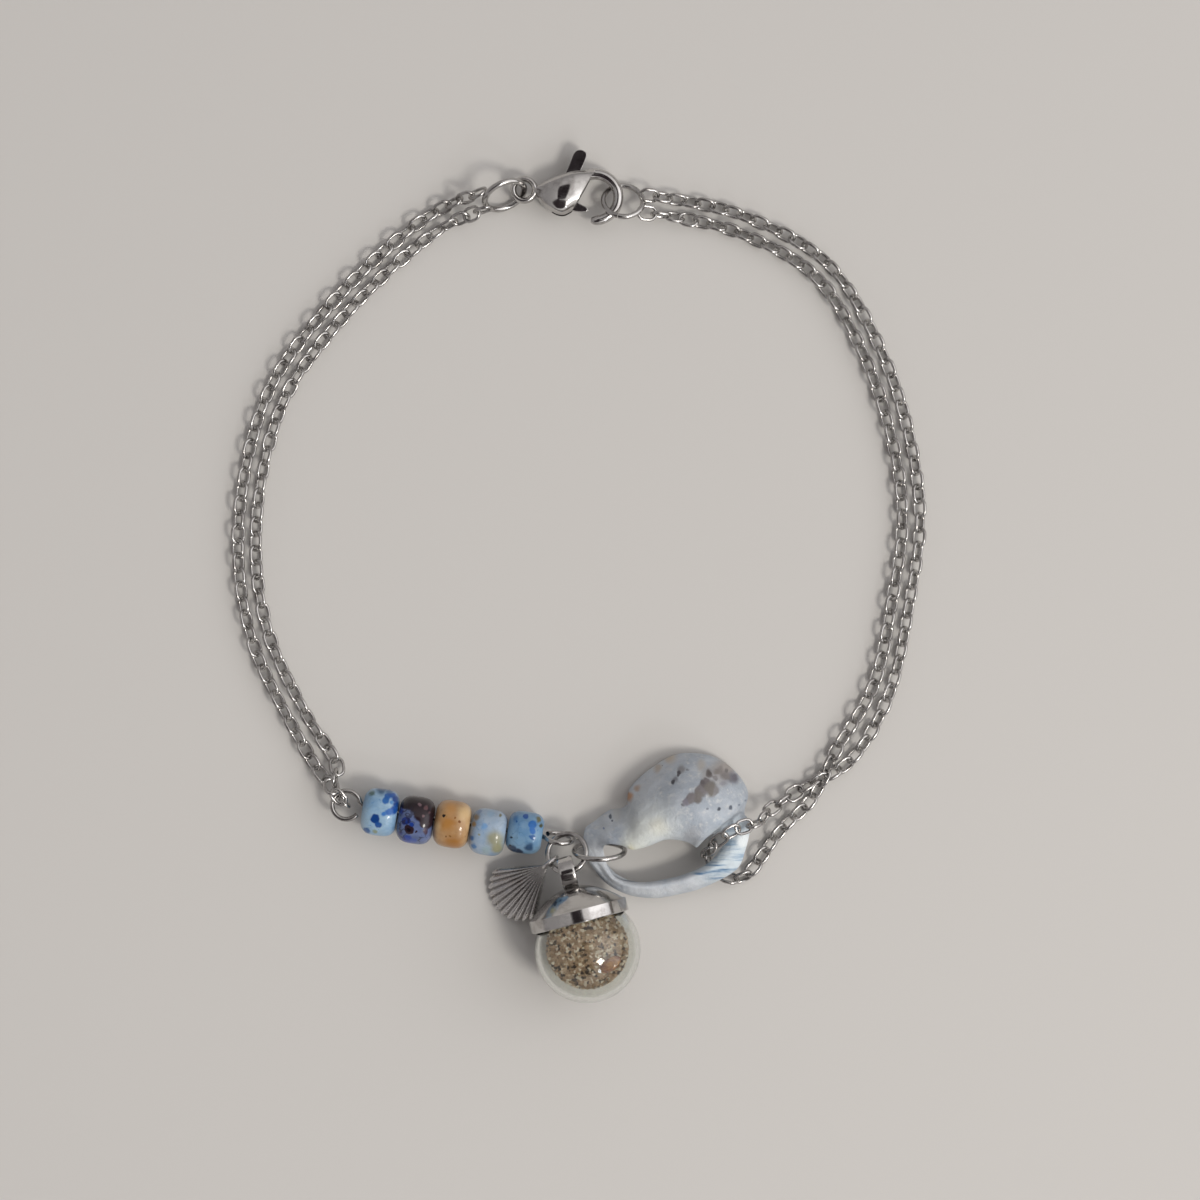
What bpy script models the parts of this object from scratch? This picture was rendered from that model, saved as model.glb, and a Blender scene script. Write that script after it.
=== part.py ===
"""Shell bracelet: two doubled cable chains, five glazed beads, a worn shell, a fan charm and a
globe of sand, closed by a lobster clasp. It lies flat as it does on a table.

Metres, +Z up. +X runs to the right and +Y towards the clasp. The origin is at the centre of the
bounding box, on the surface that the bracelet lies on.
"""
import math

import bmesh
import bpy
from mathutils import Matrix, Vector

UP = Vector((0.0, 0.0, 1.0))

# Lobster clasp
CLASP_LENGTH = 0.0099
CLASP_PLACE = (-0.00491, 0.03495)
CLASP_HALF_THICKNESS = 0.0015
EYE_HOLE_RADIUS = 0.0007
EYE_WALL = 0.00056
EYE_HEIGHT = 0.0009
HOOK_WIDTH = 0.0009
HOOK_HEIGHT = 0.00096
HOOK_START = math.radians(122)
HOOK_END = math.radians(-100)
SLOT_CLEARANCE = 0.0001
LEVER_THICKNESS = 0.0008
RIVET_RADIUS = 0.0004
RIVET_CLEARANCE = 0.0001

# Share of CLASP_LENGTH from the eye's centre, a row for each section of the teardrop body:
# top x, top y, low x, low y, half thickness as a share of CLASP_HALF_THICKNESS
CLASP_SECTIONS = (
    (0.097, 0.035, 0.097, -0.045, 0.28),
    (0.152, 0.056, 0.152, -0.119, 0.54),
    (0.232, 0.096, 0.212, -0.177, 0.80),
    (0.333, 0.136, 0.293, -0.227, 1.00),
    (0.455, 0.172, 0.364, -0.237, 1.00),
    (0.650, 0.180, 0.430, -0.207, 0.84),
)
HOOK_CENTRE = (0.647, -0.066)
HOOK_SWEEP = 0.212
PIVOT = (0.378, -0.035)
# Share of CLASP_LENGTH from the pivot, round the lever: thumb tab, front, gate, back
LEVER_OUTLINE = (
    (0.091, 0.394), (0.157, 0.404), (0.202, 0.364), (0.154, 0.232), (0.083, 0.081),
    (0.098, -0.066), (0.202, -0.131), (0.209, -0.165), (0.098, -0.170), (0.000, -0.125),
    (-0.074, -0.040), (-0.074, 0.040), (-0.013, 0.162), (0.027, 0.253),
)
# Share of CLASP_LENGTH from the eye's centre, round the slot that the lever swings in
SLOT_OUTLINE = (
    (0.254, -0.333), (0.254, 0.283), (0.572, 0.283), (0.572, 0.121), (0.620, 0.050),
    (0.530, -0.096), (0.520, -0.333),
)

# Jump rings
RING_SIDES = 12
CLASP_RING_RADIUS = 0.0019
CLASP_RING_WIRE = 0.0006
CLASP_RING_LEAN = math.radians(60)
CLASP_RING_RISE = 0.26
CATCH_RING_RADIUS = 0.0018
CATCH_RING_WIRE = 0.0005
CATCH_RING_LEAN = math.radians(33)
CATCH_RING_OFFSET = (0.00255, -0.00035)
CHARM_RING_RADIUS = 0.00177
CHARM_RING_WIRE = 0.0005
CHARM_RING_LEAN = math.radians(23)
CHARM_RING_YAW = math.radians(30.5)
CHARM_RING_OFFSET = (0.00074, -0.00127, 0.00095)
SHELL_RING_RADIUS = 0.00228
SHELL_RING_WIRE = 0.0005
SHELL_RING_LEAN = math.radians(75)
SHELL_RING_OFFSET = (0.00293, 0.00016)
SHELL_RING_HEIGHT = 0.0028

# Cable chains, each a doubled strand whose outer form is a round tube
STRAND_DIAMETER = 0.0011
STRAND_SPACING = 0.0016
STRAND_LIFT = 0.00005
STRAND_STEP = 0.0027
LOOP_FOLD_STEP = 0.0007
SHELL_FOLD_STEP = 0.0013
STRAND_END_GAP = 0.0003
FOLD_GAP = 0.0002

# Eye pin and beads
PIN_WIRE = 0.00045
PIN_ANGLE = math.radians(-8.8)
PIN_PLACE = (-0.02095, -0.02065)
LEFT_LOOP_RADIUS = 0.00128
FOLD_TURN = math.radians(128)
RIGHT_LOOP_RADIUS = 0.00123
RIGHT_LOOP_TURN = math.radians(73)
PIN_NECK = 0.0002
BEAD_LENGTH = 0.0032
BEAD_RADIUS = 0.0022
BEAD_HOLE_RADIUS = 0.0009
BEAD_GAP = 0.0001
# A row for each bead: name, share of BEAD_RADIUS, sag off the pin as a share of the play, colour
BEADS = (
    ("bead_1", 1.00, 0.25, (0.42, 0.60, 0.80)),
    ("bead_2", 1.00, 0.60, (0.30, 0.30, 0.50)),
    ("bead_3", 1.00, 0.35, (0.72, 0.48, 0.24)),
    ("bead_4", 0.98, 0.70, (0.55, 0.68, 0.78)),
    ("bead_5", 0.90, 0.00, (0.28, 0.48, 0.68)),
)
# Share of the bead's half length and radius, from one end to the other
BEAD_PROFILE = ((-1.0, 0.66), (-0.80, 0.92), (-0.30, 1.0), (0.30, 1.0), (0.80, 0.92), (1.0, 0.66))

# Fan charm
FAN_LENGTH = 0.0064
FAN_THICKNESS = 0.0007
FAN_RIB = 0.0002
FAN_RIBS = 11
FAN_SPREAD = math.radians(34)
FAN_SEAT_TURN = math.radians(210)
FAN_DIRECTION = math.radians(222)
FAN_ROLL = math.radians(7)
FAN_LOOP_RADIUS = 0.00078
FAN_LOOP_WIRE = 0.0004
FAN_LIFT = 0.0001

# Globe, cap and sand
GLOBE_RADIUS = 0.0048
GLASS_WALL = 0.0005
GLOBE_SIDES = 18
GLOBE_TURN = math.radians(104.5)
BAIL_RISE = 0.00047
BAIL_TURN = math.radians(272.5)
CAP_REST = 0.0025
CAP_BAND = 0.0012
CAP_DOME = 0.0021
CAP_WALL = 0.00027
CAP_CLEARANCE = 0.00012
BAIL_RADIUS = 0.0013
BAIL_WALL = 0.0003
BAIL_WIDTH = 0.0014
SAND_GAP = 0.0003
SAND_LEVEL = 0.0012
CHIP_SIZE = (0.0011, 0.0006, 0.00022)
CHIP_PLACE = (0.0021, -0.0014)

# Shell
SHELL_LENGTH = 0.0151
SHELL_WIDTH = 0.0131
SHELL_HEIGHT = 0.0066
SHELL_WALL = 0.0009
SHELL_FOOT = 0.0001
SHELL_COLUMNS = 8
SHELL_FROM_RING = (-0.00146, -0.00443)
# A row for each section from the outer edge to the opening's edge, clockwise from the left tip:
# outer x, outer y, inner x, inner y, outer z, inner z, crown between them
# x, y and z are shares of SHELL_LENGTH, SHELL_WIDTH and SHELL_HEIGHT
SHELL_SECTIONS = (
    (0.006, 0.471, 0.120, 0.360, 0.288, 0.394, 0.045),
    (0.072, 0.540, 0.156, 0.388, 0.242, 0.545, 0.076),
    (0.156, 0.609, 0.228, 0.381, 0.182, 0.606, 0.136),
    (0.251, 0.637, 0.299, 0.353, 0.152, 0.621, 0.227),
    (0.281, 0.761, 0.395, 0.381, 0.136, 0.621, 0.348),
    (0.401, 0.893, 0.491, 0.422, 0.136, 0.636, 0.409),
    (0.569, 0.997, 0.587, 0.415, 0.136, 0.636, 0.470),
    (0.772, 0.983, 0.647, 0.388, 0.136, 0.591, 0.515),
    (0.910, 0.879, 0.677, 0.367, 0.136, 0.530, 0.500),
    (0.988, 0.734, 0.719, 0.415, 0.152, 0.470, 0.394),
    (0.964, 0.595, 0.784, 0.457, 0.273, 0.409, 0.152),
    (1.000, 0.526, 0.844, 0.422, 0.348, 0.394, 0.091),
    (0.970, 0.346, 0.814, 0.339, 0.348, 0.394, 0.121),
    (0.910, 0.201, 0.731, 0.242, 0.348, 0.394, 0.121),
    (0.719, 0.076, 0.599, 0.173, 0.197, 0.364, 0.152),
    (0.581, 0.028, 0.479, 0.138, 0.121, 0.333, 0.167),
    (0.431, 0.000, 0.371, 0.118, 0.121, 0.318, 0.152),
    (0.275, 0.021, 0.257, 0.125, 0.121, 0.303, 0.121),
    (0.144, 0.097, 0.186, 0.159, 0.152, 0.303, 0.076),
    (0.066, 0.201, 0.150, 0.215, 0.227, 0.303, 0.045),
    (0.012, 0.311, 0.132, 0.277, 0.288, 0.318, 0.030),
)

# Chosen places that the chains pass, between their ends
BEAD_SIDE_ROUTE = (
    (-0.01200, 0.03270), (-0.01623, 0.02968), (-0.02259, 0.02332), (-0.02714, 0.01695),
    (-0.02941, 0.00968), (-0.03005, 0.00150), (-0.02877, -0.00577), (-0.02532, -0.01305),
    (-0.02260, -0.01760),
)
SHELL_SIDE_ROUTE = (
    (0.00920, 0.03330), (0.01468, 0.03195), (0.02195, 0.02786), (0.02650, 0.02059),
    (0.02923, 0.01241), (0.03014, 0.00514), (0.02923, -0.00214), (0.02741, -0.01032),
    (0.02400, -0.01620),
)
SHELL_FOLD = (
    (0.02014, -0.01930, 0.0008), (0.01741, -0.02105, 0.0019), (0.01590, -0.02230, 0.0034),
    (0.01440, -0.02255, 0.0043), (0.01300, -0.02330, 0.0044), (0.01215, -0.02420, 0.0036),
    (0.01172, -0.02490, 0.0022), (0.01185, -0.02580, 0.0011), (0.01255, -0.02672, 0.0007),
    (0.01375, -0.02735, 0.0006), (0.01500, -0.02720, 0.0006), (0.01610, -0.02610, 0.0006),
    (0.01710, -0.02460, 0.0006), (0.01860, -0.02270, 0.0006), (0.02110, -0.02020, 0.0006),
)


def clear_scene():
    """Remove whatever stands in the scene."""
    for old in list(bpy.data.objects):
        bpy.data.objects.remove(old, do_unlink=True)


def material(name, colour, roughness, metallic, transmission=0.0):
    """A Principled material."""
    made = bpy.data.materials.new(name)
    made.use_nodes = True
    shader = made.node_tree.nodes["Principled BSDF"]
    shader.inputs["Base Color"].default_value = (*colour, 1.0)
    shader.inputs["Roughness"].default_value = roughness
    shader.inputs["Metallic"].default_value = metallic
    shader.inputs["Transmission Weight"].default_value = transmission
    made.diffuse_color = (*colour, 1.0)
    return made


def add_object(name, shape, finish, parent, place=Matrix.Identity(4)):
    """Turn a bmesh into a named object under its parent."""
    mesh = bpy.data.meshes.new(name)
    bmesh.ops.recalc_face_normals(shape, faces=shape.faces)
    bmesh.ops.triangulate(shape, faces=shape.faces)
    shape.to_mesh(mesh)
    shape.free()
    mesh.shade_smooth()
    mesh.set_sharp_from_angle(angle=math.radians(40))
    made = bpy.data.objects.new(name, mesh)
    bpy.context.scene.collection.objects.link(made)
    made.data.materials.append(finish)
    made.matrix_local = place
    made.parent = parent
    return made


def combine(base, tool, operation):
    """Join a helper shape to an object, or cut it away, and hide the helper."""
    change = base.modifiers.new(tool.name, "BOOLEAN")
    change.operation = operation
    change.object = tool
    change.solver = "EXACT"
    tool.hide_render = True
    tool.display_type = "WIRE"


def sweep(shape, path, sides_dir, half_width, half_height, sides, closed, phase=0.0):
    """Carry an oval section along a path. sides_dir points along the section's width."""
    count = len(path)
    rings = []
    for index, point in enumerate(path):
        ahead = path[(index + 1) % count] if closed or index < count - 1 else point
        behind = path[index - 1] if closed or index > 0 else point
        along = (ahead - behind).normalized()
        across = sides_dir[index]
        across = (across - across.dot(along) * along).normalized()
        over = along.cross(across)
        ring = []
        for step in range(sides):
            angle = phase + 2 * math.pi * step / sides
            offset = across * math.cos(angle) * half_width + over * math.sin(angle) * half_height
            ring.append(shape.verts.new(point + offset))
        rings.append(ring)
    for index in range(count if closed else count - 1):
        ring = rings[index]
        following = rings[(index + 1) % count]
        for step in range(sides):
            beside = (step + 1) % sides
            shape.faces.new((ring[step], ring[beside], following[beside], following[step]))
    if not closed:
        shape.faces.new(list(reversed(rings[0])))
        shape.faces.new(rings[-1])


def sweep_circle(shape, centre, normal, radius, half_width, half_height, segments, sides):
    """A closed ring of wire or band. half_width is measured across the ring's own plane."""
    turn = normal.to_track_quat("Z", "Y")
    path = []
    outward = []
    for step in range(segments):
        angle = 2 * math.pi * step / segments
        spoke = turn @ Vector((math.cos(angle), math.sin(angle), 0.0))
        path.append(centre + spoke * radius)
        outward.append(spoke)
    sweep(shape, path, outward, half_height, half_width, sides, True)


def revolve(shape, profile, segments):
    """Turn a closed profile of (radius, height) about Z. A radius of zero is a pole."""
    rings = []
    for radius, height in profile:
        if radius == 0.0:
            rings.append([shape.verts.new((0.0, 0.0, height))])
            continue
        ring = []
        for step in range(segments):
            angle = 2 * math.pi * step / segments
            ring.append(shape.verts.new((radius * math.cos(angle), radius * math.sin(angle), height)))
        rings.append(ring)
    for ring, following in zip(rings, rings[1:] + rings[:1]):
        for step in range(segments):
            beside = (step + 1) % segments
            if len(ring) == 1 and len(following) == 1:
                break
            if len(ring) == 1:
                shape.faces.new((ring[0], following[beside], following[step]))
            elif len(following) == 1:
                shape.faces.new((ring[step], ring[beside], following[0]))
            else:
                shape.faces.new((ring[step], ring[beside], following[beside], following[step]))


def prism(shape, outline, half_height):
    """A flat plate with the given outline, centred on its own middle plane."""
    count = len(outline)
    low = [shape.verts.new((x, y, -half_height)) for x, y in outline]
    high = [shape.verts.new((x, y, half_height)) for x, y in outline]
    shape.faces.new(low)
    shape.faces.new(high)
    for index in range(count):
        beside = (index + 1) % count
        shape.faces.new((low[index], low[beside], high[beside], high[index]))


def smooth_path(points, steps):
    """Points along a centripetal Catmull-Rom curve through the given ones."""
    ends = [2 * points[0] - points[1]] + list(points) + [2 * points[-1] - points[-2]]
    curve = []
    for p0, p1, p2, p3 in zip(ends, ends[1:], ends[2:], ends[3:]):
        t1 = (p1 - p0).length ** 0.5
        t2 = t1 + (p2 - p1).length ** 0.5
        t3 = t2 + (p3 - p2).length ** 0.5
        for step in range(steps):
            t = t1 + (t2 - t1) * step / steps
            a1 = p0 * (t1 - t) / t1 + p1 * t / t1
            a2 = p1 * (t2 - t) / (t2 - t1) + p2 * (t - t1) / (t2 - t1)
            a3 = p2 * (t3 - t) / (t3 - t2) + p3 * (t - t2) / (t3 - t2)
            b1 = a1 * (t2 - t) / t2 + a2 * t / t2
            b2 = a2 * (t3 - t) / (t3 - t1) + a3 * (t - t1) / (t3 - t1)
            curve.append(b1 * (t2 - t) / (t2 - t1) + b2 * (t - t1) / (t2 - t1))
    curve.append(points[-1])
    return curve


def spaced(curve, spacing):
    """Points at equal steps along a curve, as near to the spacing as the length allows."""
    reach = [0.0]
    for start, end in zip(curve, curve[1:]):
        reach.append(reach[-1] + (end - start).length)
    count = max(1, round(reach[-1] / spacing))
    made = []
    span = 0
    for step in range(count + 1):
        goal = reach[-1] * step / count
        while span < len(curve) - 2 and reach[span + 1] < goal:
            span += 1
        share = (goal - reach[span]) / (reach[span + 1] - reach[span])
        made.append(curve[span].lerp(curve[span + 1], share))
    return made


def offset_route(route, height, sideways):
    """A route's places moved sideways in plan and set at a height."""
    flat = [Vector((x, y, height)) for x, y in route]
    moved = []
    for index, point in enumerate(flat):
        ahead = flat[min(index + 1, len(flat) - 1)]
        behind = flat[max(index - 1, 0)]
        along = (ahead - behind).normalized()
        moved.append(point + along.cross(UP) * sideways)
    return moved


def clasp_place():
    """Where the eye's centre is."""
    return Vector((*CLASP_PLACE, CLASP_HALF_THICKNESS))


def clasp_point(share):
    """A point of the clasp's middle plane, from its shares of the clasp's length."""
    return Vector((share[0] * CLASP_LENGTH, share[1] * CLASP_LENGTH, 0.0))


def clasp_ring_frame():
    """Centre, direction away from the eye, second axis and normal of the clasp's ring."""
    away = Vector((-1.0, -0.30, CLASP_RING_RISE)).normalized()
    lean = Vector((0.0, math.cos(CLASP_RING_LEAN), math.sin(CLASP_RING_LEAN)))
    second = (lean - lean.dot(away) * away).normalized()
    return clasp_place() + away * CLASP_RING_RADIUS, away, second, away.cross(second)


def catch_ring_frame():
    """Centre and normal of the ring in the hook. It leans so that it passes over and under."""
    hook = clasp_place() + clasp_point(HOOK_CENTRE)
    centre = hook + Vector((*CATCH_RING_OFFSET, 0.0))
    downhill = Vector((0.12, 0.99, 0.0))
    normal = (UP * math.cos(CATCH_RING_LEAN) + downhill * math.sin(CATCH_RING_LEAN)).normalized()
    return centre, normal


def pin_frame():
    """Left loop's centre, the pin's direction and the right loop's centre."""
    left = Vector((*PIN_PLACE, BEAD_RADIUS))
    along = Vector((math.cos(PIN_ANGLE), math.sin(PIN_ANGLE), 0.0))
    return left, along, left + along * pin_reach()


def beads_length():
    """Length of the row of beads."""
    return len(BEADS) * (BEAD_LENGTH + BEAD_GAP)


def pin_reach():
    """Distance from the left loop's centre to the right loop's."""
    return LEFT_LOOP_RADIUS + RIGHT_LOOP_RADIUS + 2 * PIN_NECK + beads_length()


def charm_ring_frame():
    """Centre and normal of the ring that gathers the charms."""
    centre = pin_frame()[2] + Vector(CHARM_RING_OFFSET)
    leaning = Vector((-math.sin(CHARM_RING_YAW), math.cos(CHARM_RING_YAW), 0.0))
    return centre, UP * math.cos(CHARM_RING_LEAN) + leaning * math.sin(CHARM_RING_LEAN)


def charm_seat(turn):
    """Centre of the charm ring's wire where a direction in plan crosses it."""
    centre, normal = charm_ring_frame()
    spoke = Vector((math.cos(turn), math.sin(turn), 0.0))
    spoke.z = -(spoke.x * normal.x + spoke.y * normal.y) / normal.z
    return centre + spoke.normalized() * CHARM_RING_RADIUS


def shell_ring_frame():
    """Centre and normal of the ring through the shell."""
    charm_centre = charm_ring_frame()[0]
    centre = Vector((charm_centre.x, charm_centre.y, SHELL_RING_HEIGHT))
    centre += Vector((*SHELL_RING_OFFSET, 0.0))
    normal = Vector((0.0, math.sin(SHELL_RING_LEAN), math.cos(SHELL_RING_LEAN)))
    return centre, normal


def globe_frame():
    """Centre of the globe and the direction of its neck."""
    seat = charm_seat(BAIL_TURN)
    dip = math.asin((GLOBE_RADIUS - seat.z - BAIL_RISE) / bail_height())
    flat = Vector((math.cos(GLOBE_TURN), math.sin(GLOBE_TURN), 0.0))
    neck = flat * math.cos(dip) - UP * math.sin(dip)
    centre = seat - neck * bail_height()
    return Vector((centre.x, centre.y, GLOBE_RADIUS)), neck


def bail_height():
    """Distance from the globe's centre to the bail's."""
    return CAP_REST + CAP_BAND + CAP_DOME + BAIL_RADIUS


def upright(centre, axis):
    """Place an object whose own Z is its axis, with its own X kept level."""
    axis = axis.normalized()
    across = UP.cross(axis).normalized()
    over = axis.cross(across)
    turn = Matrix((across, over, axis)).transposed().to_4x4()
    return Matrix.Translation(centre) @ turn


def build_clasp_body(parent, steel):
    """Cast body: teardrop with its slot, the eye, the hook and the rivet, one solid."""
    shape = bmesh.new()
    rings = []
    for top_x, top_y, low_x, low_y, thick in CLASP_SECTIONS:
        top = clasp_point((top_x, top_y))
        low = clasp_point((low_x, low_y))
        middle = (top + low) / 2
        half = (top - low) / 2
        lift = UP * thick * CLASP_HALF_THICKNESS
        ring = []
        for across, over in ((1, 0.45), (0.5, 1), (-0.5, 1), (-1, 0.45),
                             (-1, -0.45), (-0.5, -1), (0.5, -1), (1, -0.45)):
            ring.append(shape.verts.new(middle + half * across + lift * over))
        rings.append(ring)
    for ring, following in zip(rings, rings[1:]):
        for step in range(8):
            beside = (step + 1) % 8
            shape.faces.new((ring[step], ring[beside], following[beside], following[step]))
    shape.faces.new(rings[0])
    shape.faces.new(rings[-1])
    place = Matrix.Translation(clasp_place())
    body = add_object("clasp_body", shape, steel, parent, place)

    shape = bmesh.new()
    sweep_circle(shape, Vector(), UP, EYE_HOLE_RADIUS + EYE_WALL / 2, EYE_HEIGHT / 2,
                 EYE_WALL / 2, 14, 6)
    eye = add_object("clasp_eye_shape", shape, steel, parent, place)

    shape = bmesh.new()
    path = []
    outward = []
    turns = 13
    for step in range(turns + 1):
        angle = HOOK_START + (HOOK_END - HOOK_START) * step / turns
        spoke = Vector((math.cos(angle), math.sin(angle), 0.0))
        path.append(clasp_point(HOOK_CENTRE) + spoke * HOOK_SWEEP * CLASP_LENGTH)
        outward.append(spoke)
    sweep(shape, path, outward, HOOK_WIDTH / 2, HOOK_HEIGHT / 2, 8, False, math.pi / 8)
    hook = add_object("clasp_hook_shape", shape, steel, parent, place)

    shape = bmesh.new()
    outline = [clasp_point(share)[:2] for share in SLOT_OUTLINE]
    prism(shape, outline, LEVER_THICKNESS / 2 + SLOT_CLEARANCE)
    slot = add_object("clasp_slot_shape", shape, steel, parent, place)

    shape = bmesh.new()
    depth = LEVER_THICKNESS / 2 + 4 * SLOT_CLEARANCE
    revolve(shape, ((0.0, -depth), (RIVET_RADIUS, -depth), (RIVET_RADIUS, depth), (0.0, depth)), 12)
    pivot = Matrix.Translation(clasp_place() + clasp_point(PIVOT))
    rivet = add_object("clasp_rivet_shape", shape, steel, parent, pivot)

    combine(body, eye, "UNION")
    combine(body, hook, "UNION")
    combine(body, slot, "DIFFERENCE")
    combine(body, rivet, "UNION")


def build_clasp_lever(parent, steel):
    """Thumb tab and gate in one plate, with its origin on the rivet's axis."""
    place = Matrix.Translation(clasp_place() + clasp_point(PIVOT))
    shape = bmesh.new()
    outline = [clasp_point(share)[:2] for share in LEVER_OUTLINE]
    prism(shape, outline, LEVER_THICKNESS / 2)
    lever = add_object("clasp_lever", shape, steel, parent, place)
    shape = bmesh.new()
    radius = RIVET_RADIUS + RIVET_CLEARANCE
    revolve(shape, ((0.0, -LEVER_THICKNESS), (radius, -LEVER_THICKNESS),
                    (radius, LEVER_THICKNESS), (0.0, LEVER_THICKNESS)), 12)
    hole = add_object("lever_hole_shape", shape, steel, parent, place)
    combine(lever, hole, "DIFFERENCE")


def build_ring(name, centre, normal, radius, wire, parent, steel):
    """A round jump ring."""
    shape = bmesh.new()
    sweep_circle(shape, Vector(), normal, radius, wire / 2, wire / 2, RING_SIDES, 6)
    add_object(name, shape, steel, parent, Matrix.Translation(centre))


def build_strand(name, ring_centre, seat, route, fold, fold_step, parent, steel):
    """Outer form of one doubled chain: from its ring, round what it is folded on, and back."""
    height = STRAND_DIAMETER / 2 + STRAND_LIFT
    out = offset_route(route, height, -STRAND_SPACING / 2)
    back = offset_route(route, height, STRAND_SPACING / 2)
    leave = (out[0] + back[0]) / 2 - ring_centre
    sideways = leave.cross(UP).normalized() * STRAND_SPACING / 2
    points = [seat - sideways] + out + fold + list(reversed(back)) + [seat + sideways]
    curve_points = smooth_path(points, 12)
    start = 12 * len(out)
    end = start + 12 * (len(fold) + 1)
    path = spaced(curve_points[:start + 1], STRAND_STEP)
    path += spaced(curve_points[start:end + 1], fold_step)[1:]
    path += spaced(curve_points[end:], STRAND_STEP)[1:]
    for point in path:
        point.z = max(point.z, height)
    curve = bpy.data.curves.new(name, "CURVE")
    curve.dimensions = "3D"
    curve.bevel_depth = STRAND_DIAMETER / 2
    curve.bevel_resolution = 2
    curve.use_fill_caps = True
    line = curve.splines.new("POLY")
    line.points.add(len(path) - 1)
    for knot, point in zip(line.points, path):
        knot.co = (*point, 1.0)
    curve.materials.append(steel)
    tube = bpy.data.objects.new(name, curve)
    bpy.context.scene.collection.objects.link(tube)
    tube.parent = parent


def build_bead_side_chain(parent, steel):
    """Chain from the clasp's ring, over and under the wire of the pin's left loop."""
    centre, away, _, _ = clasp_ring_frame()
    reach = CLASP_RING_RADIUS + CLASP_RING_WIRE / 2 + STRAND_END_GAP
    left, _, _ = pin_frame()
    outward = Vector((math.cos(FOLD_TURN), math.sin(FOLD_TURN), 0.0))
    wire = left + outward * LEFT_LOOP_RADIUS
    bend = STRAND_DIAMETER / 2 + PIN_WIRE / 2 + FOLD_GAP
    fold = []
    for step in range(7):
        angle = math.radians(35 + 37 * step)
        fold.append(wire + (outward * math.cos(angle) + UP * math.sin(angle)) * bend)
    build_strand("bead_side_chain", centre, centre + away * reach, BEAD_SIDE_ROUTE, fold,
                 LOOP_FOLD_STEP, parent, steel)


def build_shell_side_chain(parent, steel):
    """Chain from the caught ring, over the shell's lower rib and back under it."""
    centre, _ = catch_ring_frame()
    leave = Vector((*SHELL_SIDE_ROUTE[0], centre.z)) - centre
    reach = CATCH_RING_RADIUS + CATCH_RING_WIRE / 2 + STRAND_END_GAP
    fold = [Vector(point) for point in SHELL_FOLD]
    build_strand("shell_side_chain", centre, centre + leave.normalized() * reach,
                 SHELL_SIDE_ROUTE, fold, SHELL_FOLD_STEP, parent, steel)


def loop_path(centre, inward, normal, radius):
    """An eye bent from wire: from its free end, round, and out along the pin."""
    across = normal.cross(inward)
    path = []
    turns = 11
    for step in range(turns + 1):
        angle = math.radians(-32) - math.radians(308) * step / turns
        path.append(centre + (inward * math.cos(angle) + across * math.sin(angle)) * radius)
    path.append(centre + inward * (radius + PIN_WIRE))
    return path


def build_eye_pin(parent, steel):
    """Wire through the beads with a loop at each end, one solid."""
    left, along, right = pin_frame()
    tilt = Vector((0.0, math.sin(RIGHT_LOOP_TURN), math.cos(RIGHT_LOOP_TURN)))
    tilt = (tilt - tilt.dot(along) * along).normalized()
    path = loop_path(left, along, UP, LEFT_LOOP_RADIUS)
    flip = loop_path(right, -along, tilt, RIGHT_LOOP_RADIUS)
    path += list(reversed(flip))
    shape = bmesh.new()
    normals = [UP] * (len(path) // 2) + [tilt] * (len(path) // 2)
    sweep(shape, [point - left for point in path], normals, PIN_WIRE / 2, PIN_WIRE / 2, 6, False)
    add_object("eye_pin", shape, steel, parent, Matrix.Translation(left))


def build_beads(parent):
    """Five round beads on the pin, each resting on the surface."""
    left, along, _ = pin_frame()
    sideways = UP.cross(along)
    play = BEAD_HOLE_RADIUS * math.cos(math.pi / 12) - PIN_WIRE / 2
    start = LEFT_LOOP_RADIUS + PIN_NECK + (BEAD_LENGTH + BEAD_GAP) / 2
    for index, (name, size, sag, colour) in enumerate(BEADS):
        radius = BEAD_RADIUS * size
        centre = left + along * (start + index * (BEAD_LENGTH + BEAD_GAP))
        centre -= sideways * sag * play
        centre.z = radius
        half = BEAD_LENGTH / 2
        profile = [(radius * share, half * height) for height, share in BEAD_PROFILE]
        profile += [(BEAD_HOLE_RADIUS, half), (BEAD_HOLE_RADIUS, -half)]
        shape = bmesh.new()
        revolve(shape, profile, 12)
        glaze = material(name + "_glaze", colour, 0.12, 0.0)
        add_object(name, shape, glaze, parent, upright(centre, along))


def fan_frame():
    """Loop's centre, fan direction, across and normal of the charm, which leans on the table."""
    seat = charm_seat(FAN_SEAT_TURN)
    drop = seat.z - FAN_THICKNESS / 2 - FAN_LIFT
    slope = math.asin(min(0.9, drop / (FAN_LOOP_RADIUS + FAN_LENGTH)))
    flat = Vector((math.cos(FAN_DIRECTION), math.sin(FAN_DIRECTION), 0.0))
    forward = flat * math.cos(slope) - UP * math.sin(slope)
    across = flat.cross(UP)
    over = across.cross(forward)
    rolled = Matrix.Rotation(FAN_ROLL, 3, forward)
    return seat, forward, rolled @ across, rolled @ over


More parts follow.
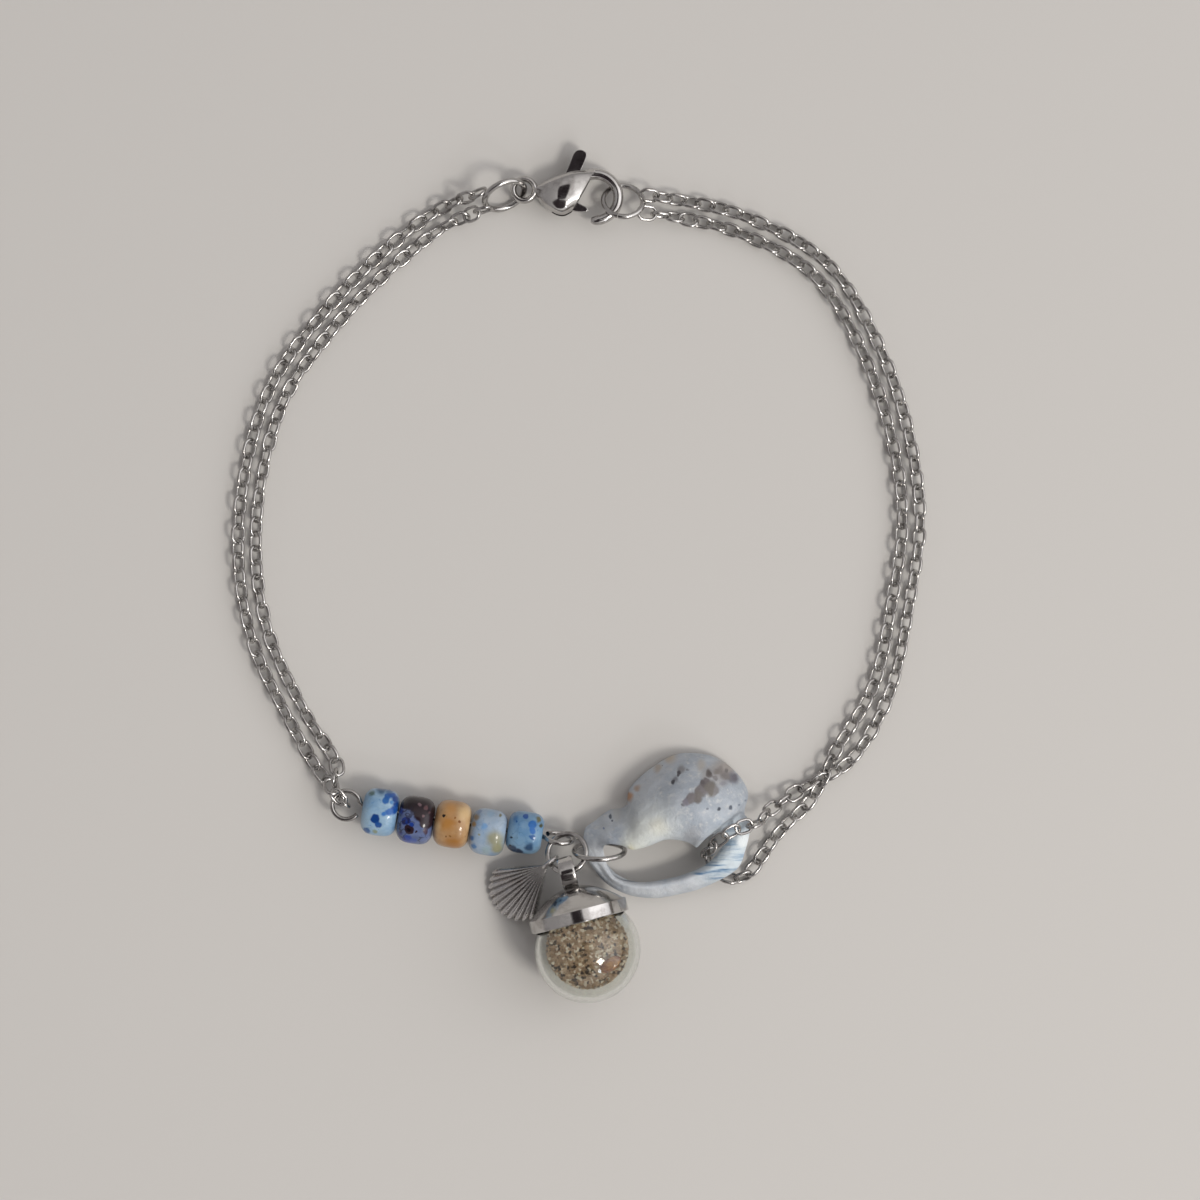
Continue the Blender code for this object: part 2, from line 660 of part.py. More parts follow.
def build_scallop(parent, steel):
    """Ribbed fan charm with a loop at its apex, one solid."""
    seat, forward, across, over = fan_frame()
    shape = bmesh.new()
    steps = 2 * FAN_RIBS
    apex = FAN_LOOP_RADIUS * 0.9
    sections = []
    for step in range(steps + 1):
        angle = FAN_SPREAD * (2 * step / steps - 1)
        ridge = FAN_RIB if step % 2 else 0.0
        edge = FAN_LENGTH * (math.cos(angle) ** 1.6) * (1.0 if step % 2 else 0.97)
        column = []
        for share, rise in ((0.0, 0.3), (0.15, 0.6), (0.55, 1.0), (1.0, 0.7)):
            out = apex + edge * share * math.cos(angle)
            side = (edge * share + FAN_LOOP_WIRE) * math.sin(angle)
            crown = FAN_THICKNESS * (0.5 + 0.35 * rise)
            point = forward * out + across * side
            column.append((point + over * (crown + ridge * share - FAN_THICKNESS / 2),
                           point - over * FAN_THICKNESS / 2))
        sections.append([(shape.verts.new(high), shape.verts.new(low)) for high, low in column])
    for column, following in zip(sections, sections[1:]):
        for index in range(len(column) - 1):
            near = (column[index], following[index])
            far = (column[index + 1], following[index + 1])
            shape.faces.new((near[0][0], far[0][0], far[1][0], near[1][0]))
            shape.faces.new((near[0][1], near[1][1], far[1][1], far[0][1]))
        shape.faces.new((column[0][0], following[0][0], following[0][1], column[0][1]))
        shape.faces.new((column[-1][0], column[-1][1], following[-1][1], following[-1][0]))
    for column in (sections[0], sections[-1]):
        for index in range(len(column) - 1):
            shape.faces.new((column[index][0], column[index][1],
                             column[index + 1][1], column[index + 1][0]))
    fan = add_object("scallop_charm", shape, steel, parent, Matrix.Translation(seat))
    shape = bmesh.new()
    sweep_circle(shape, Vector(), across, FAN_LOOP_RADIUS, FAN_LOOP_WIRE / 2,
                 FAN_LOOP_WIRE / 2, 12, 6)
    loop = add_object("scallop_loop_shape", shape, steel, parent, Matrix.Translation(seat))
    combine(fan, loop, "UNION")


def build_globe(parent, glass, steel, sand, chip_glaze):
    """Glass globe, its cap with the bail, the sand and the chip on it."""
    centre, neck = globe_frame()
    place = upright(centre, neck)
    inner = GLOBE_RADIUS - GLASS_WALL
    lip = CAP_REST + CAP_BAND / 2
    shape = bmesh.new()
    profile = []
    turns = 8
    for radius, order in ((GLOBE_RADIUS, range(turns + 1)), (inner, range(turns, -1, -1))):
        start = math.acos(lip / radius)
        for step in order:
            angle = start + (math.pi - start) * step / turns
            ring = 0.0 if step == turns else radius * math.sin(angle)
            profile.append((ring, radius * math.cos(angle)))
    revolve(shape, profile, GLOBE_SIDES)
    add_object("globe_glass", shape, glass, parent, place)

    shape = bmesh.new()
    bore = math.sqrt(GLOBE_RADIUS ** 2 - CAP_REST ** 2) + CAP_CLEARANCE
    rim = bore + CAP_WALL
    shoulder = CAP_REST + CAP_BAND
    outer = [(rim, CAP_REST), (rim, shoulder)]
    inside = [(bore, CAP_REST)]
    inside.append((bore, shoulder - CAP_WALL))
    for share, rise in ((0.75, 0.42), (0.42, 0.78), (0.18, 0.97)):
        outer.append((rim * share, shoulder + CAP_DOME * rise))
        inside.append((rim * share - CAP_WALL / 2, shoulder + CAP_DOME * rise - 1.4 * CAP_WALL))
    outer.append((0.0, shoulder + CAP_DOME))
    inside.append((0.0, shoulder + CAP_DOME - 1.4 * CAP_WALL))
    revolve(shape, outer + list(reversed(inside)), GLOBE_SIDES)
    cap = add_object("globe_cap", shape, steel, parent, place)
    shape = bmesh.new()
    sweep_circle(shape, Vector((0.0, 0.0, bail_height())), Vector((1.0, 0.0, 0.0)), BAIL_RADIUS,
                 BAIL_WIDTH / 2, BAIL_WALL / 2, 14, 8)
    bail = add_object("bail_shape", shape, steel, parent, place)
    combine(cap, bail, "UNION")

    shape = bmesh.new()
    radius = inner - SAND_GAP
    profile = [(0.0, -radius)]
    lowest = math.pi
    level = math.acos(-SAND_LEVEL / radius)
    for step in range(1, 5):
        angle = lowest + (level - lowest) * step / 4
        profile.append((radius * math.sin(angle), radius * math.cos(angle)))
    profile.append((radius * 0.5, -SAND_LEVEL + SAND_GAP))
    profile.append((0.0, -SAND_LEVEL + SAND_GAP))
    revolve(shape, profile, 16)
    add_object("sand_fill", shape, sand, parent, Matrix.Translation(centre))

    shape = bmesh.new()
    bmesh.ops.create_icosphere(shape, subdivisions=1, radius=1.0)
    bmesh.ops.scale(shape, vec=CHIP_SIZE, verts=shape.verts)
    lift = -SAND_LEVEL + 2 * SAND_GAP + CHIP_SIZE[2]
    turn = Matrix.Rotation(math.radians(35), 4, "Z")
    spot = Matrix.Translation(centre + Vector((*CHIP_PLACE, lift)))
    add_object("shell_chip", shape, chip_glaze, parent, spot @ turn)


def crown_share(share):
    """Height of a section's crown, steep at both edges and broad on top."""
    return math.sin(math.pi * share) ** 0.6


def build_shell(parent, nacre):
    """Curved wall of the worn shell: a band of sections round its long opening."""
    ring_centre, _ = shell_ring_frame()
    corner = Vector((ring_centre.x + SHELL_FROM_RING[0], ring_centre.y + SHELL_FROM_RING[1], 0.0))
    rows = []
    for out_x, out_y, in_x, in_y, out_z, in_z, crown in SHELL_SECTIONS:
        outer = Vector((out_x * SHELL_LENGTH, out_y * SHELL_WIDTH, out_z * SHELL_HEIGHT))
        inner = Vector((in_x * SHELL_LENGTH, in_y * SHELL_WIDTH, in_z * SHELL_HEIGHT))
        row = []
        for step in range(SHELL_COLUMNS):
            share = step / (SHELL_COLUMNS - 1)
            point = outer.lerp(inner, share)
            point.z += crown * SHELL_HEIGHT * crown_share(share)
            row.append(point)
        rows.append(row)
    count = len(rows)
    shape = bmesh.new()
    outside = []
    inside = []
    for index, row in enumerate(rows):
        outside.append([shape.verts.new(point) for point in row])
        under = []
        for step, point in enumerate(row):
            ahead = rows[(index + 1) % count][step] - rows[index - 1][step]
            across = row[min(step + 1, SHELL_COLUMNS - 1)] - row[max(step - 1, 0)]
            normal = across.cross(ahead).normalized()
            low = point + normal * SHELL_WALL * (1 if normal.z < 0 else -1)
            low.z = max(low.z, SHELL_FOOT)
            under.append(shape.verts.new(low))
        inside.append(under)
    for index in range(count):
        beside = (index + 1) % count
        for step in range(SHELL_COLUMNS - 1):
            shape.faces.new((outside[index][step], outside[beside][step],
                             outside[beside][step + 1], outside[index][step + 1]))
            shape.faces.new((inside[index][step], inside[index][step + 1],
                             inside[beside][step + 1], inside[beside][step]))
        for step in (0, SHELL_COLUMNS - 1):
            shape.faces.new((outside[index][step], inside[index][step],
                             inside[beside][step], outside[beside][step]))
    add_object("shell_fragment", shape, nacre, parent, Matrix.Translation(corner))


def centre_on_origin(parent):
    """Move everything so that the bounding box's centre is above the origin."""
    bpy.context.view_layer.update()
    graph = bpy.context.evaluated_depsgraph_get()
    low = Vector((1.0, 1.0, 1.0))
    high = -low
    for thing in bpy.context.scene.objects:
        if thing.type == "EMPTY" or thing.hide_render:
            continue
        shaped = thing.evaluated_get(graph)
        mesh = shaped.to_mesh()
        for vertex in mesh.vertices:
            place = thing.matrix_world @ vertex.co
            low = Vector(map(min, low, place))
            high = Vector(map(max, high, place))
        shaped.to_mesh_clear()
    parent.location = (-(low.x + high.x) / 2, -(low.y + high.y) / 2, -low.z)
    bpy.context.view_layer.update()


def main():
    clear_scene()
    root = bpy.data.objects.new("bracelet_frame", None)
    bpy.context.scene.collection.objects.link(root)
    steel = material("polished_steel", (0.55, 0.54, 0.53), 0.18, 1.0)
    brushed = material("brushed_steel", (0.45, 0.43, 0.40), 0.38, 1.0)
    glass = material("clear_glass", (0.95, 0.97, 0.97), 0.02, 0.0, 1.0)
    sand = material("beach_sand", (0.42, 0.31, 0.19), 0.95, 0.0)
    chip_glaze = material("amber_chip", (0.50, 0.24, 0.08), 0.15, 0.0)
    nacre = material("worn_shell", (0.60, 0.64, 0.68), 0.55, 0.0)

    build_clasp_body(root, steel)
    build_clasp_lever(root, steel)
    ring, _, _, ring_normal = clasp_ring_frame()
    build_ring("clasp_ring", ring, ring_normal, CLASP_RING_RADIUS, CLASP_RING_WIRE, root, steel)
    catch, catch_normal = catch_ring_frame()
    build_ring("catch_ring", catch, catch_normal, CATCH_RING_RADIUS, CATCH_RING_WIRE, root, steel)
    charm, charm_normal = charm_ring_frame()
    build_ring("charm_ring", charm, charm_normal, CHARM_RING_RADIUS, CHARM_RING_WIRE, root, steel)
    held, held_normal = shell_ring_frame()
    build_ring("shell_ring", held, held_normal, SHELL_RING_RADIUS, SHELL_RING_WIRE, root, steel)
    build_bead_side_chain(root, steel)
    build_shell_side_chain(root, steel)
    build_eye_pin(root, steel)
    build_beads(root)
    build_scallop(root, brushed)
    build_globe(root, glass, steel, sand, chip_glaze)
    build_shell(root, nacre)
    centre_on_origin(root)


main()
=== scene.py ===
"""Looks of the shell bracelet: every surface, the chains' links, the grains of sand, the worn shell.

Metres, +Z up. Places are worked out in the layout that the bracelet was drawn in, and moved to the
row frame by the place of the first bead's CAD node.
"""
import math
import random

import bmesh
import bpy
from mathutils import Matrix, Vector

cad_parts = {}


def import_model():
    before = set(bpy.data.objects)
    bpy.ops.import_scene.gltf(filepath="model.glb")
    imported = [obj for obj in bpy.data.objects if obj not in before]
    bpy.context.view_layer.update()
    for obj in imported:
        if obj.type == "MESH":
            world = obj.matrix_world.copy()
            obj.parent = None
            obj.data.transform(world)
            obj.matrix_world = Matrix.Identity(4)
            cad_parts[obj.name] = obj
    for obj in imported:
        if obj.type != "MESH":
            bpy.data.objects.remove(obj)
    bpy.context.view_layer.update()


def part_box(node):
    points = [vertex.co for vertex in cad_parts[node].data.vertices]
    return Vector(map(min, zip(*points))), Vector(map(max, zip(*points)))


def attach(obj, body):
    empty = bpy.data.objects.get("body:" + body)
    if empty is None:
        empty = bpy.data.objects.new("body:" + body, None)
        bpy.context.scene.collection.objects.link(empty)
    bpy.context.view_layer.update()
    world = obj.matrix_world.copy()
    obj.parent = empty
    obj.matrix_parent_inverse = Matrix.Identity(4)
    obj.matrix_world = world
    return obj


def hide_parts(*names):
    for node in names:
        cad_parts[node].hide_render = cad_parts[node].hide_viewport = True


EAST = Vector((1.0, 0.0, 0.0))
NORTH = Vector((0.0, 1.0, 0.0))
UP = Vector((0.0, 0.0, 1.0))
MM = 0.001

# Photograph
IMAGE_SIZE = 1200
PIXELS_PER_MM = 11.0
CAMERA_HEIGHT = 0.30
VIEW_CENTRE = (0.00195, -0.00214)

# Floor, a hair below the surface that the bracelet lies on
FLOOR_HALF = 1.2
FLOOR_DROP = 0.00002

# Lobster clasp, as shares of its length from the eye's centre
CLASP_LENGTH = 0.0099
CLASP_PLACE = (-0.00491, 0.03495)
CLASP_HALF_THICKNESS = 0.0015
CLASP_CROWN = 0.985
EYE_HOLE_RADIUS = 0.0007
EYE_WALL = 0.00056
EYE_HEIGHT = 0.0009
HOOK_CENTRE = (0.647, -0.066)
HOOK_SWEEP = 0.212
HOOK_WIDTH = 0.0009
HOOK_HEIGHT = 0.00096
HOOK_START = math.radians(122)
HOOK_END = math.radians(-100)
PIVOT = (0.378, -0.035)
LEVER_THICKNESS = 0.0008
LEVER_EDGE = 0.08 * MM
RIVET_RADIUS = 0.0004
SLOT_CLEARANCE = 0.0001
# A row for each section: top x, top y, low x, low y, share of the half thickness
CLASP_SECTIONS = (
    (0.097, 0.035, 0.097, -0.045, 0.28),
    (0.152, 0.056, 0.152, -0.119, 0.54),
    (0.232, 0.096, 0.212, -0.177, 0.80),
    (0.333, 0.136, 0.293, -0.227, 0.98),
    (0.455, 0.172, 0.364, -0.237, 0.98),
    (0.650, 0.180, 0.430, -0.207, 0.80),
)
# From the pivot, round the lever: thumb tab, front, gate, back
LEVER_OUTLINE = (
    (0.091, 0.386), (0.150, 0.398), (0.196, 0.362), (0.154, 0.232), (0.083, 0.081),
    (0.098, -0.066), (0.198, -0.131), (0.203, -0.161), (0.098, -0.166), (0.000, -0.122),
    (-0.070, -0.040), (-0.070, 0.040), (-0.013, 0.162), (0.027, 0.253),
)
SLOT_OUTLINE = (
    (0.254, -0.333), (0.254, 0.283), (0.572, 0.283), (0.572, 0.121), (0.620, 0.050),
    (0.530, -0.096), (0.520, -0.333),
)

# Jump rings
CLASP_RING_RADIUS = 0.0019
CLASP_RING_WIRE = 0.00057
CLASP_RING_LEAN = math.radians(60)
CLASP_RING_RISE = 0.26
CATCH_RING_RADIUS = 0.0018
CATCH_RING_WIRE = 0.00048
CATCH_RING_LEAN = math.radians(33)
CATCH_RING_OFFSET = (0.00255, -0.00035)
CHARM_RING_RADIUS = 0.00177
CHARM_RING_WIRE = 0.00048
CHARM_RING_LEAN = math.radians(23)
CHARM_RING_YAW = math.radians(30.5)
CHARM_RING_OFFSET = (0.00074, -0.00127, 0.00095)
SHELL_RING_RADIUS = 0.00228
SHELL_RING_WIRE = 0.00048
SHELL_RING_LEAN = math.radians(75)
SHELL_RING_OFFSET = (0.00293, 0.00016)
SHELL_RING_HEIGHT = 0.0028
RING_CUT = math.radians(2)

# Noise to a metre along X, Y and Z: scratches 1.1 mm long in X, 0.2 mm apart in Y and 0.4 mm in Z.
# Real ones are finer, and these are as coarse as they need to be to show
SCRATCH_SCALE = (900.0, 5200.0, 2600.0)

# Chain
STRAND_DIAMETER = 0.0011
STRAND_SPACING = 0.0016
STRAND_LIFT = 0.00022
LINK_LENGTH = 0.00200
LINK_WIDTH = 0.00150
LINK_WIRE = 0.00029
LINK_PITCH = 0.00130
# The first link's turn about the strand, and how far each may be off its turn
LINK_TURN = math.radians(45)
LINK_LOOSE_TURN = math.radians(9)
FOLD_GAP = 0.0002

# Eye pin and beads
PIN_WIRE = 0.00044
PIN_ANGLE = math.radians(-8.8)
PIN_PLACE = (-0.02095, -0.02065)
LEFT_LOOP_RADIUS = 0.00128
FOLD_TURN = math.radians(128)
RIGHT_LOOP_RADIUS = 0.00123
RIGHT_LOOP_TURN = math.radians(73)
PIN_NECK = 0.0002
# Where a loop's free end lies, and how far round the wire goes
LOOP_START = math.radians(-32)
LOOP_SWEEP = math.radians(308)
BEAD_LENGTH = 0.0032
BEAD_RADIUS = 0.0022
BEAD_HOLE_RADIUS = 0.0006
BEAD_GAP = 0.0001
# A row for each bead: share of BEAD_RADIUS, sag off the pin as a share of the play
BEADS = ((1.00, 0.25), (1.00, 0.60), (1.00, 0.35), (0.98, 0.70), (0.90, 0.00))
BEAD_PLAY = 0.00064
# Size of a finished bead as a share of the CAD model's
BEAD_FIT = 0.99
# Spots are drawn this much wider than traced, and heights count less, so that a spot reaches down the side
SPOT_SPREAD = 1.2
SPOT_DEPTH = (1.0, 1.0, 0.3)
# How far each bead's outline lies from its outline in the photograph, in pixels
BEAD_OFFSETS = ((-4.4, 3.0), (-5.7, 0.8), (-6.3, 0.7), (-6.1, -1.2), (-8.0, -0.5))

# Fan charm
FAN_LENGTH = 0.0064
FAN_THICKNESS = 0.0007
FAN_RIB = 0.00026
FAN_RIBS = 11
FAN_SPREAD = math.radians(34)
FAN_SEAT_TURN = math.radians(210)
FAN_DIRECTION = math.radians(222)
FAN_ROLL = math.radians(7)
FAN_LOOP_RADIUS = 0.00078
FAN_LOOP_WIRE = 0.00038
FAN_LIFT = 0.0001

# Globe
GLOBE_RADIUS = 0.00476
GLASS_WALL = 0.00045
GLOBE_TURN = math.radians(104.5)
GLOBE_REST = 0.0048
BAIL_RISE = 0.00047
BAIL_TURN = math.radians(272.5)
CAP_REST = 0.0025
CAP_BAND = 0.0012
CAP_DOME = 0.0021
CAP_RIM = 0.00448
CAP_WALL = 0.25 * MM
CAP_EDGE = 0.07 * MM
CAP_STEP = 0.22 * MM
BAIL_RADIUS = 0.0013
BAIL_WALL = 0.00028
BAIL_WIDTH = 0.0014
SAND_LEVEL = 0.0012
# Room between glass and sand for the grains, how far the sand heaps up, grains to a square metre
SAND_GAP = 0.34 * MM
SAND_HEAP = 0.22 * MM
GRAINS = 2.2e7
GRAIN_RADIUS = 0.14 * MM
CHIP_SIZE = (0.0011, 0.0006, 0.00022)
CHIP_PLACE = (0.0021, -0.0014)

# Shell
SHELL_LENGTH = 0.0151
SHELL_WIDTH = 0.0131
SHELL_HEIGHT = 0.0066
SHELL_WALL = 0.0009
SHELL_FOOT = 0.0001
# Rows of the mesh between two sections, and corners across each row
SHELL_STEPS = 12
SHELL_COLUMNS = 30
SHELL_FROM_RING = (-0.00146, -0.00443)
# A row for each section from the outer edge to the opening's edge, clockwise from the left tip:
# outer x, outer y, inner x, inner y, outer z, inner z, crown between them
# x, y and z are shares of SHELL_LENGTH, SHELL_WIDTH and SHELL_HEIGHT
SHELL_SECTIONS = (
    (0.006, 0.471, 0.120, 0.360, 0.288, 0.394, 0.045),
    (0.072, 0.540, 0.156, 0.388, 0.242, 0.545, 0.076),
    (0.156, 0.609, 0.228, 0.381, 0.182, 0.606, 0.136),
    (0.251, 0.637, 0.299, 0.353, 0.152, 0.621, 0.227),
    (0.281, 0.761, 0.395, 0.381, 0.136, 0.621, 0.348),
    (0.401, 0.893, 0.491, 0.422, 0.136, 0.636, 0.409),
    (0.569, 0.997, 0.587, 0.415, 0.136, 0.636, 0.470),
    (0.772, 0.983, 0.647, 0.388, 0.136, 0.591, 0.515),
    (0.910, 0.879, 0.677, 0.367, 0.136, 0.530, 0.500),
    (0.988, 0.734, 0.719, 0.415, 0.152, 0.470, 0.394),
    (0.964, 0.595, 0.784, 0.457, 0.273, 0.409, 0.152),
    (1.000, 0.526, 0.844, 0.422, 0.348, 0.394, 0.091),
    (0.970, 0.346, 0.814, 0.339, 0.348, 0.394, 0.121),
    (0.910, 0.201, 0.731, 0.242, 0.348, 0.394, 0.121),
    (0.719, 0.076, 0.599, 0.173, 0.197, 0.364, 0.152),
    (0.581, 0.028, 0.479, 0.138, 0.121, 0.333, 0.167),
    (0.431, 0.000, 0.371, 0.118, 0.121, 0.318, 0.152),
    (0.275, 0.021, 0.257, 0.125, 0.121, 0.303, 0.121),
    (0.144, 0.097, 0.186, 0.159, 0.152, 0.303, 0.076),
    (0.066, 0.201, 0.150, 0.215, 0.227, 0.303, 0.045),
    (0.012, 0.311, 0.132, 0.277, 0.288, 0.318, 0.030),
)

# Marks on the shell: pixel column, pixel line, radius in mm, softness, colour
RIB_BLOOM = tuple((column, line, 1.5, 0.9, "c6cbd1") for column, line in (
    (596, 848), (604, 862), (618, 876), (636, 885), (656, 888), (676, 885), (694, 878)))
# Stains in the shell's own colours, and one painted shade: the grey patch at pixel (698, 838) is shade
# painted along the opening's lower edge
SHELL_STAINS_AND_SHADE = (
    (652, 820, 3.6, 0.98, "d2d8d8"), (634, 843, 2.0, 0.95, "d5d8cd"), (641, 830, 2.0, 0.95, "d6dbd8"),
    (656, 822, 1.3, 0.9, "d8dad1"), (630, 846, 0.7, 0.8, "d9d7bf"), (630, 796, 0.66, 0.6, "b98f70"),
    (626, 803, 0.42, 0.6, "b7967c"), (638, 786, 0.46, 0.7, "ae998a"), (670, 757, 0.9, 0.8, "bcb3a8"),
    (655, 766, 0.6, 0.8, "b3aba3"), (718, 771, 1.6, 0.9, "a19f9f"), (726, 768, 1.1, 0.85, "a29c98"),
    (707, 771, 0.8, 0.8, "a2a2a4"), (698, 838, 1.3, 0.9, "8f9196"), (603, 828, 0.9, 0.8, "b0b7be"),
    (688, 829, 1.2, 0.9, "9ca0a6"), (737, 822, 0.9, 0.8, "bcc6ce"), (700, 763, 0.7, 0.8, "b0aeab"),
    (618, 814, 0.9, 0.8, "aeb2b4"),
)
SHELL_MARKS = (
    (731, 776, 0.75, 0.7, "6f6f78"), (724, 774, 0.55, 0.6, "7f7b7b"), (718, 769, 0.45, 0.6, "85807e"),
    (709, 771, 0.42, 0.5, "716c6d"), (714, 776, 0.36, 0.6, "858284"), (703, 780, 0.55, 0.45, "6d686a"),
    (708, 785, 0.62, 0.5, "77736f"), (713, 789, 0.38, 0.6, "858385"), (699, 787, 0.55, 0.5, "7b777a"),
    (697, 794, 0.58, 0.45, "75716f"), (690, 795, 0.60, 0.45, "7c787b"), (685, 799, 0.40, 0.5, "82808a"),
    (722, 782, 0.40, 0.7, "8b8c93"), (680, 766, 0.50, 0.7, "86878b"), (674, 776, 0.40, 0.7, "7f828a"),
)
SHELL_DASHES = tuple((column, line, radius, 0.55, tone) for column, line, radius, tone in (
    (678, 770.3, 0.32, "4b4950"), (677, 773, 0.22, "5a585e"), (672.6, 780, 0.26, "43454d"),
    (701, 780, 0.28, "5f5a5c"), (708.3, 771.5, 0.26, "605b5a"), (716.8, 806, 0.27, "434a55"),
    (728, 804.2, 0.24, "59616d"), (738.6, 801.8, 0.17, "6b7482"), (744, 799.4, 0.17, "636e7f"),
    (706, 805.5, 0.16, "7d838e"), (681, 800.6, 0.20, "7e7f86"), (610, 814.8, 0.24, "565e6b"),
    (611.5, 819, 0.16, "636b79"), (604, 826, 0.13, "75809a"), (734, 776, 0.30, "67656f"),
    (725, 770, 0.24, "736e6e"), (687, 768, 0.18, "80828a"), (662, 765, 0.08, "1f1d1e"),
))

# Where the next whorl's edge runs: turn round the opening, share of the way in
WHORL_EDGE = ((0.0, 0.0), (1.0, 0.30), (2.0, 0.42), (2.7, 0.34), (3.1, 0.20), (3.6, 0.22),
              (4.2, 0.24), (5.0, 0.17), (6.0, 0.10), (7.0, 0.0))

# Chosen places that the chains pass, the same as in the CAD model
BEAD_SIDE_ROUTE = (
    (-0.01200, 0.03270), (-0.01623, 0.02968), (-0.02259, 0.02332), (-0.02714, 0.01695),
    (-0.02941, 0.00968), (-0.03005, 0.00150), (-0.02877, -0.00577), (-0.02532, -0.01305),
    (-0.02260, -0.01760),
)
SHELL_SIDE_ROUTE = (
    (0.00920, 0.03330), (0.01468, 0.03195), (0.02195, 0.02786), (0.02650, 0.02059),
    (0.02923, 0.01241), (0.03014, 0.00514), (0.02923, -0.00214), (0.02741, -0.01032),
    (0.02400, -0.01620),
)
SHELL_FOLD = (
    (0.02014, -0.01930, 0.0008), (0.01741, -0.02105, 0.0019), (0.01590, -0.02230, 0.0034),
    (0.01440, -0.02255, 0.0043), (0.01300, -0.02330, 0.0044), (0.01215, -0.02420, 0.0036),
    (0.01172, -0.02490, 0.0022), (0.01185, -0.02580, 0.0011), (0.01255, -0.02672, 0.0007),
    (0.01375, -0.02735, 0.0006), (0.01500, -0.02720, 0.0006), (0.01610, -0.02610, 0.0006),
    (0.01710, -0.02460, 0.0006), (0.01860, -0.02270, 0.0006), (0.02110, -0.02020, 0.0006),
)


# Colour and nodes

NOISE = "ShaderNodeTexNoise"
RANGE = "ShaderNodeMapRange"
MIX = "ShaderNodeMix"
MATH = "ShaderNodeMath"
VECTORS = "ShaderNodeVectorMath"
SMOOTH = {"interpolation_type": "SMOOTHSTEP"}
COLOURS = {"data_type": "RGBA"}
TIMES = {"operation": "MULTIPLY"}


def linear(code):
    """An sRGB hex colour as the linear colour that a shader takes."""
    made = []
    for start in (0, 2, 4):
        value = int(code[start:start + 2], 16) / 255
        made.append(value / 12.92 if value <= 0.04045 else ((value + 0.055) / 1.055) ** 2.4)
    return (*made, 1.0)


def new_material(name):
    """An empty node material with its Principled shader."""
    made = bpy.data.materials.new(name)
    made.use_nodes = True
    shader = made.node_tree.nodes["Principled BSDF"]
    return made, made.node_tree, shader


def fill(tree, made, **inputs):
    """Give a node its inputs, values or sockets: _ for a space, i and a number for a place."""
    for key, value in inputs.items():
        by_place = key[0] == "i" and key[1:].isdigit()
        socket = made.inputs[int(key[1:]) if by_place else key.replace("_", " ")]
        if isinstance(value, bpy.types.NodeSocket):
            tree.links.new(value, socket)
        else:
            socket.default_value = value
    return made


def node(tree, kind, settings=None, **inputs):
    """Add a node. settings are its properties."""
    made = tree.nodes.new(kind)
    for key, value in (settings or {}).items():
        setattr(made, key, value)
    return fill(tree, made, **inputs)


def wobbled(tree, where, scale, amount):
    """Coordinates pushed about by noise, so that drawn patches have ragged edges."""
    pushed = node(tree, NOISE, None, Vector=where, Scale=scale, Detail=2.0).outputs["Color"]
    centred = node(tree, VECTORS, {"operation": "SUBTRACT"}, i0=pushed, i1=(0.5, 0.5, 0.5)).outputs[0]
    scaled = node(tree, VECTORS, {"operation": "SCALE"}, i0=centred, Scale=amount).outputs[0]
    return node(tree, VECTORS, {"operation": "ADD"}, i0=where, i1=scaled).outputs[0]


def patch(tree, where, centre, radius, soft):
    """1 inside a ball at centre, 0 outside, with an edge as soft as that share of its radius."""
    away = node(tree, VECTORS, {"operation": "DISTANCE"}, i0=where, i1=tuple(centre)).outputs["Value"]
    return node(tree, RANGE, SMOOTH, Value=away, From_Min=radius,
                From_Max=radius * (1 - soft)).outputs["Result"]


def painted(tree, under, where, centre, radius, soft, tone):
    """A colour with a soft round patch of another laid over it."""
    inside = patch(tree, where, centre, radius, soft)
    return node(tree, MIX, COLOURS, i0=inside, i6=under, i7=linear(tone)).outputs[2]


def mottled(tree, first, second, value, low, high):
    """First colour where a pattern is below low, second above high, smooth between."""
    share = node(tree, RANGE, SMOOTH, Value=value, From_Min=low, From_Max=high).outputs["Result"]
    return node(tree, MIX, COLOURS, i0=share, i6=first, i7=second).outputs[2]


def steel(name, colour, roughness, scratch, stain):
    """Stainless steel. Fine scratches blur its reflections a little, and tarnish dulls it in places."""
    # Tarnish comes in areas of 1.4 mm
    made, tree, shader = new_material(name)
    where = node(tree, "ShaderNodeTexCoord").outputs["Object"]
    drawn = node(tree, "ShaderNodeMapping", None, Vector=where, Scale=SCRATCH_SCALE).outputs["Vector"]
    fine = node(tree, NOISE, None, Vector=drawn, Scale=1.0, Detail=4.0, Roughness=0.7).outputs["Fac"]
    broad = node(tree, NOISE, None, Vector=where, Scale=700.0, Detail=4.0, Roughness=0.6).outputs["Fac"]
    rough = node(tree, RANGE, None, Value=fine, From_Min=0.3, From_Max=0.8,
                 To_Min=roughness * 0.85, To_Max=roughness * 1.2).outputs["Result"]
    relief = node(tree, "ShaderNodeBump", None, Height=fine, Distance=scratch, Strength=1.0)
    fill(tree, shader, Base_Color=mottled(tree, linear(colour), linear(stain), broad, 0.42, 0.75),
         Metallic=1.0, Roughness=rough, Normal=relief.outputs["Normal"])
    return made


# Mesh helpers

def add_mesh(name, shape, finish, sharp=40):
    """Turn a bmesh in the row frame into a named object at the origin."""
    mesh = bpy.data.meshes.new(name)
    bmesh.ops.recalc_face_normals(shape, faces=shape.faces)
    shape.to_mesh(mesh)
    shape.free()
    mesh.shade_smooth()
    mesh.set_sharp_from_angle(angle=math.radians(sharp))
    made = bpy.data.objects.new(name, mesh)
    bpy.context.scene.collection.objects.link(made)
    made.data.materials.append(finish)
    return made


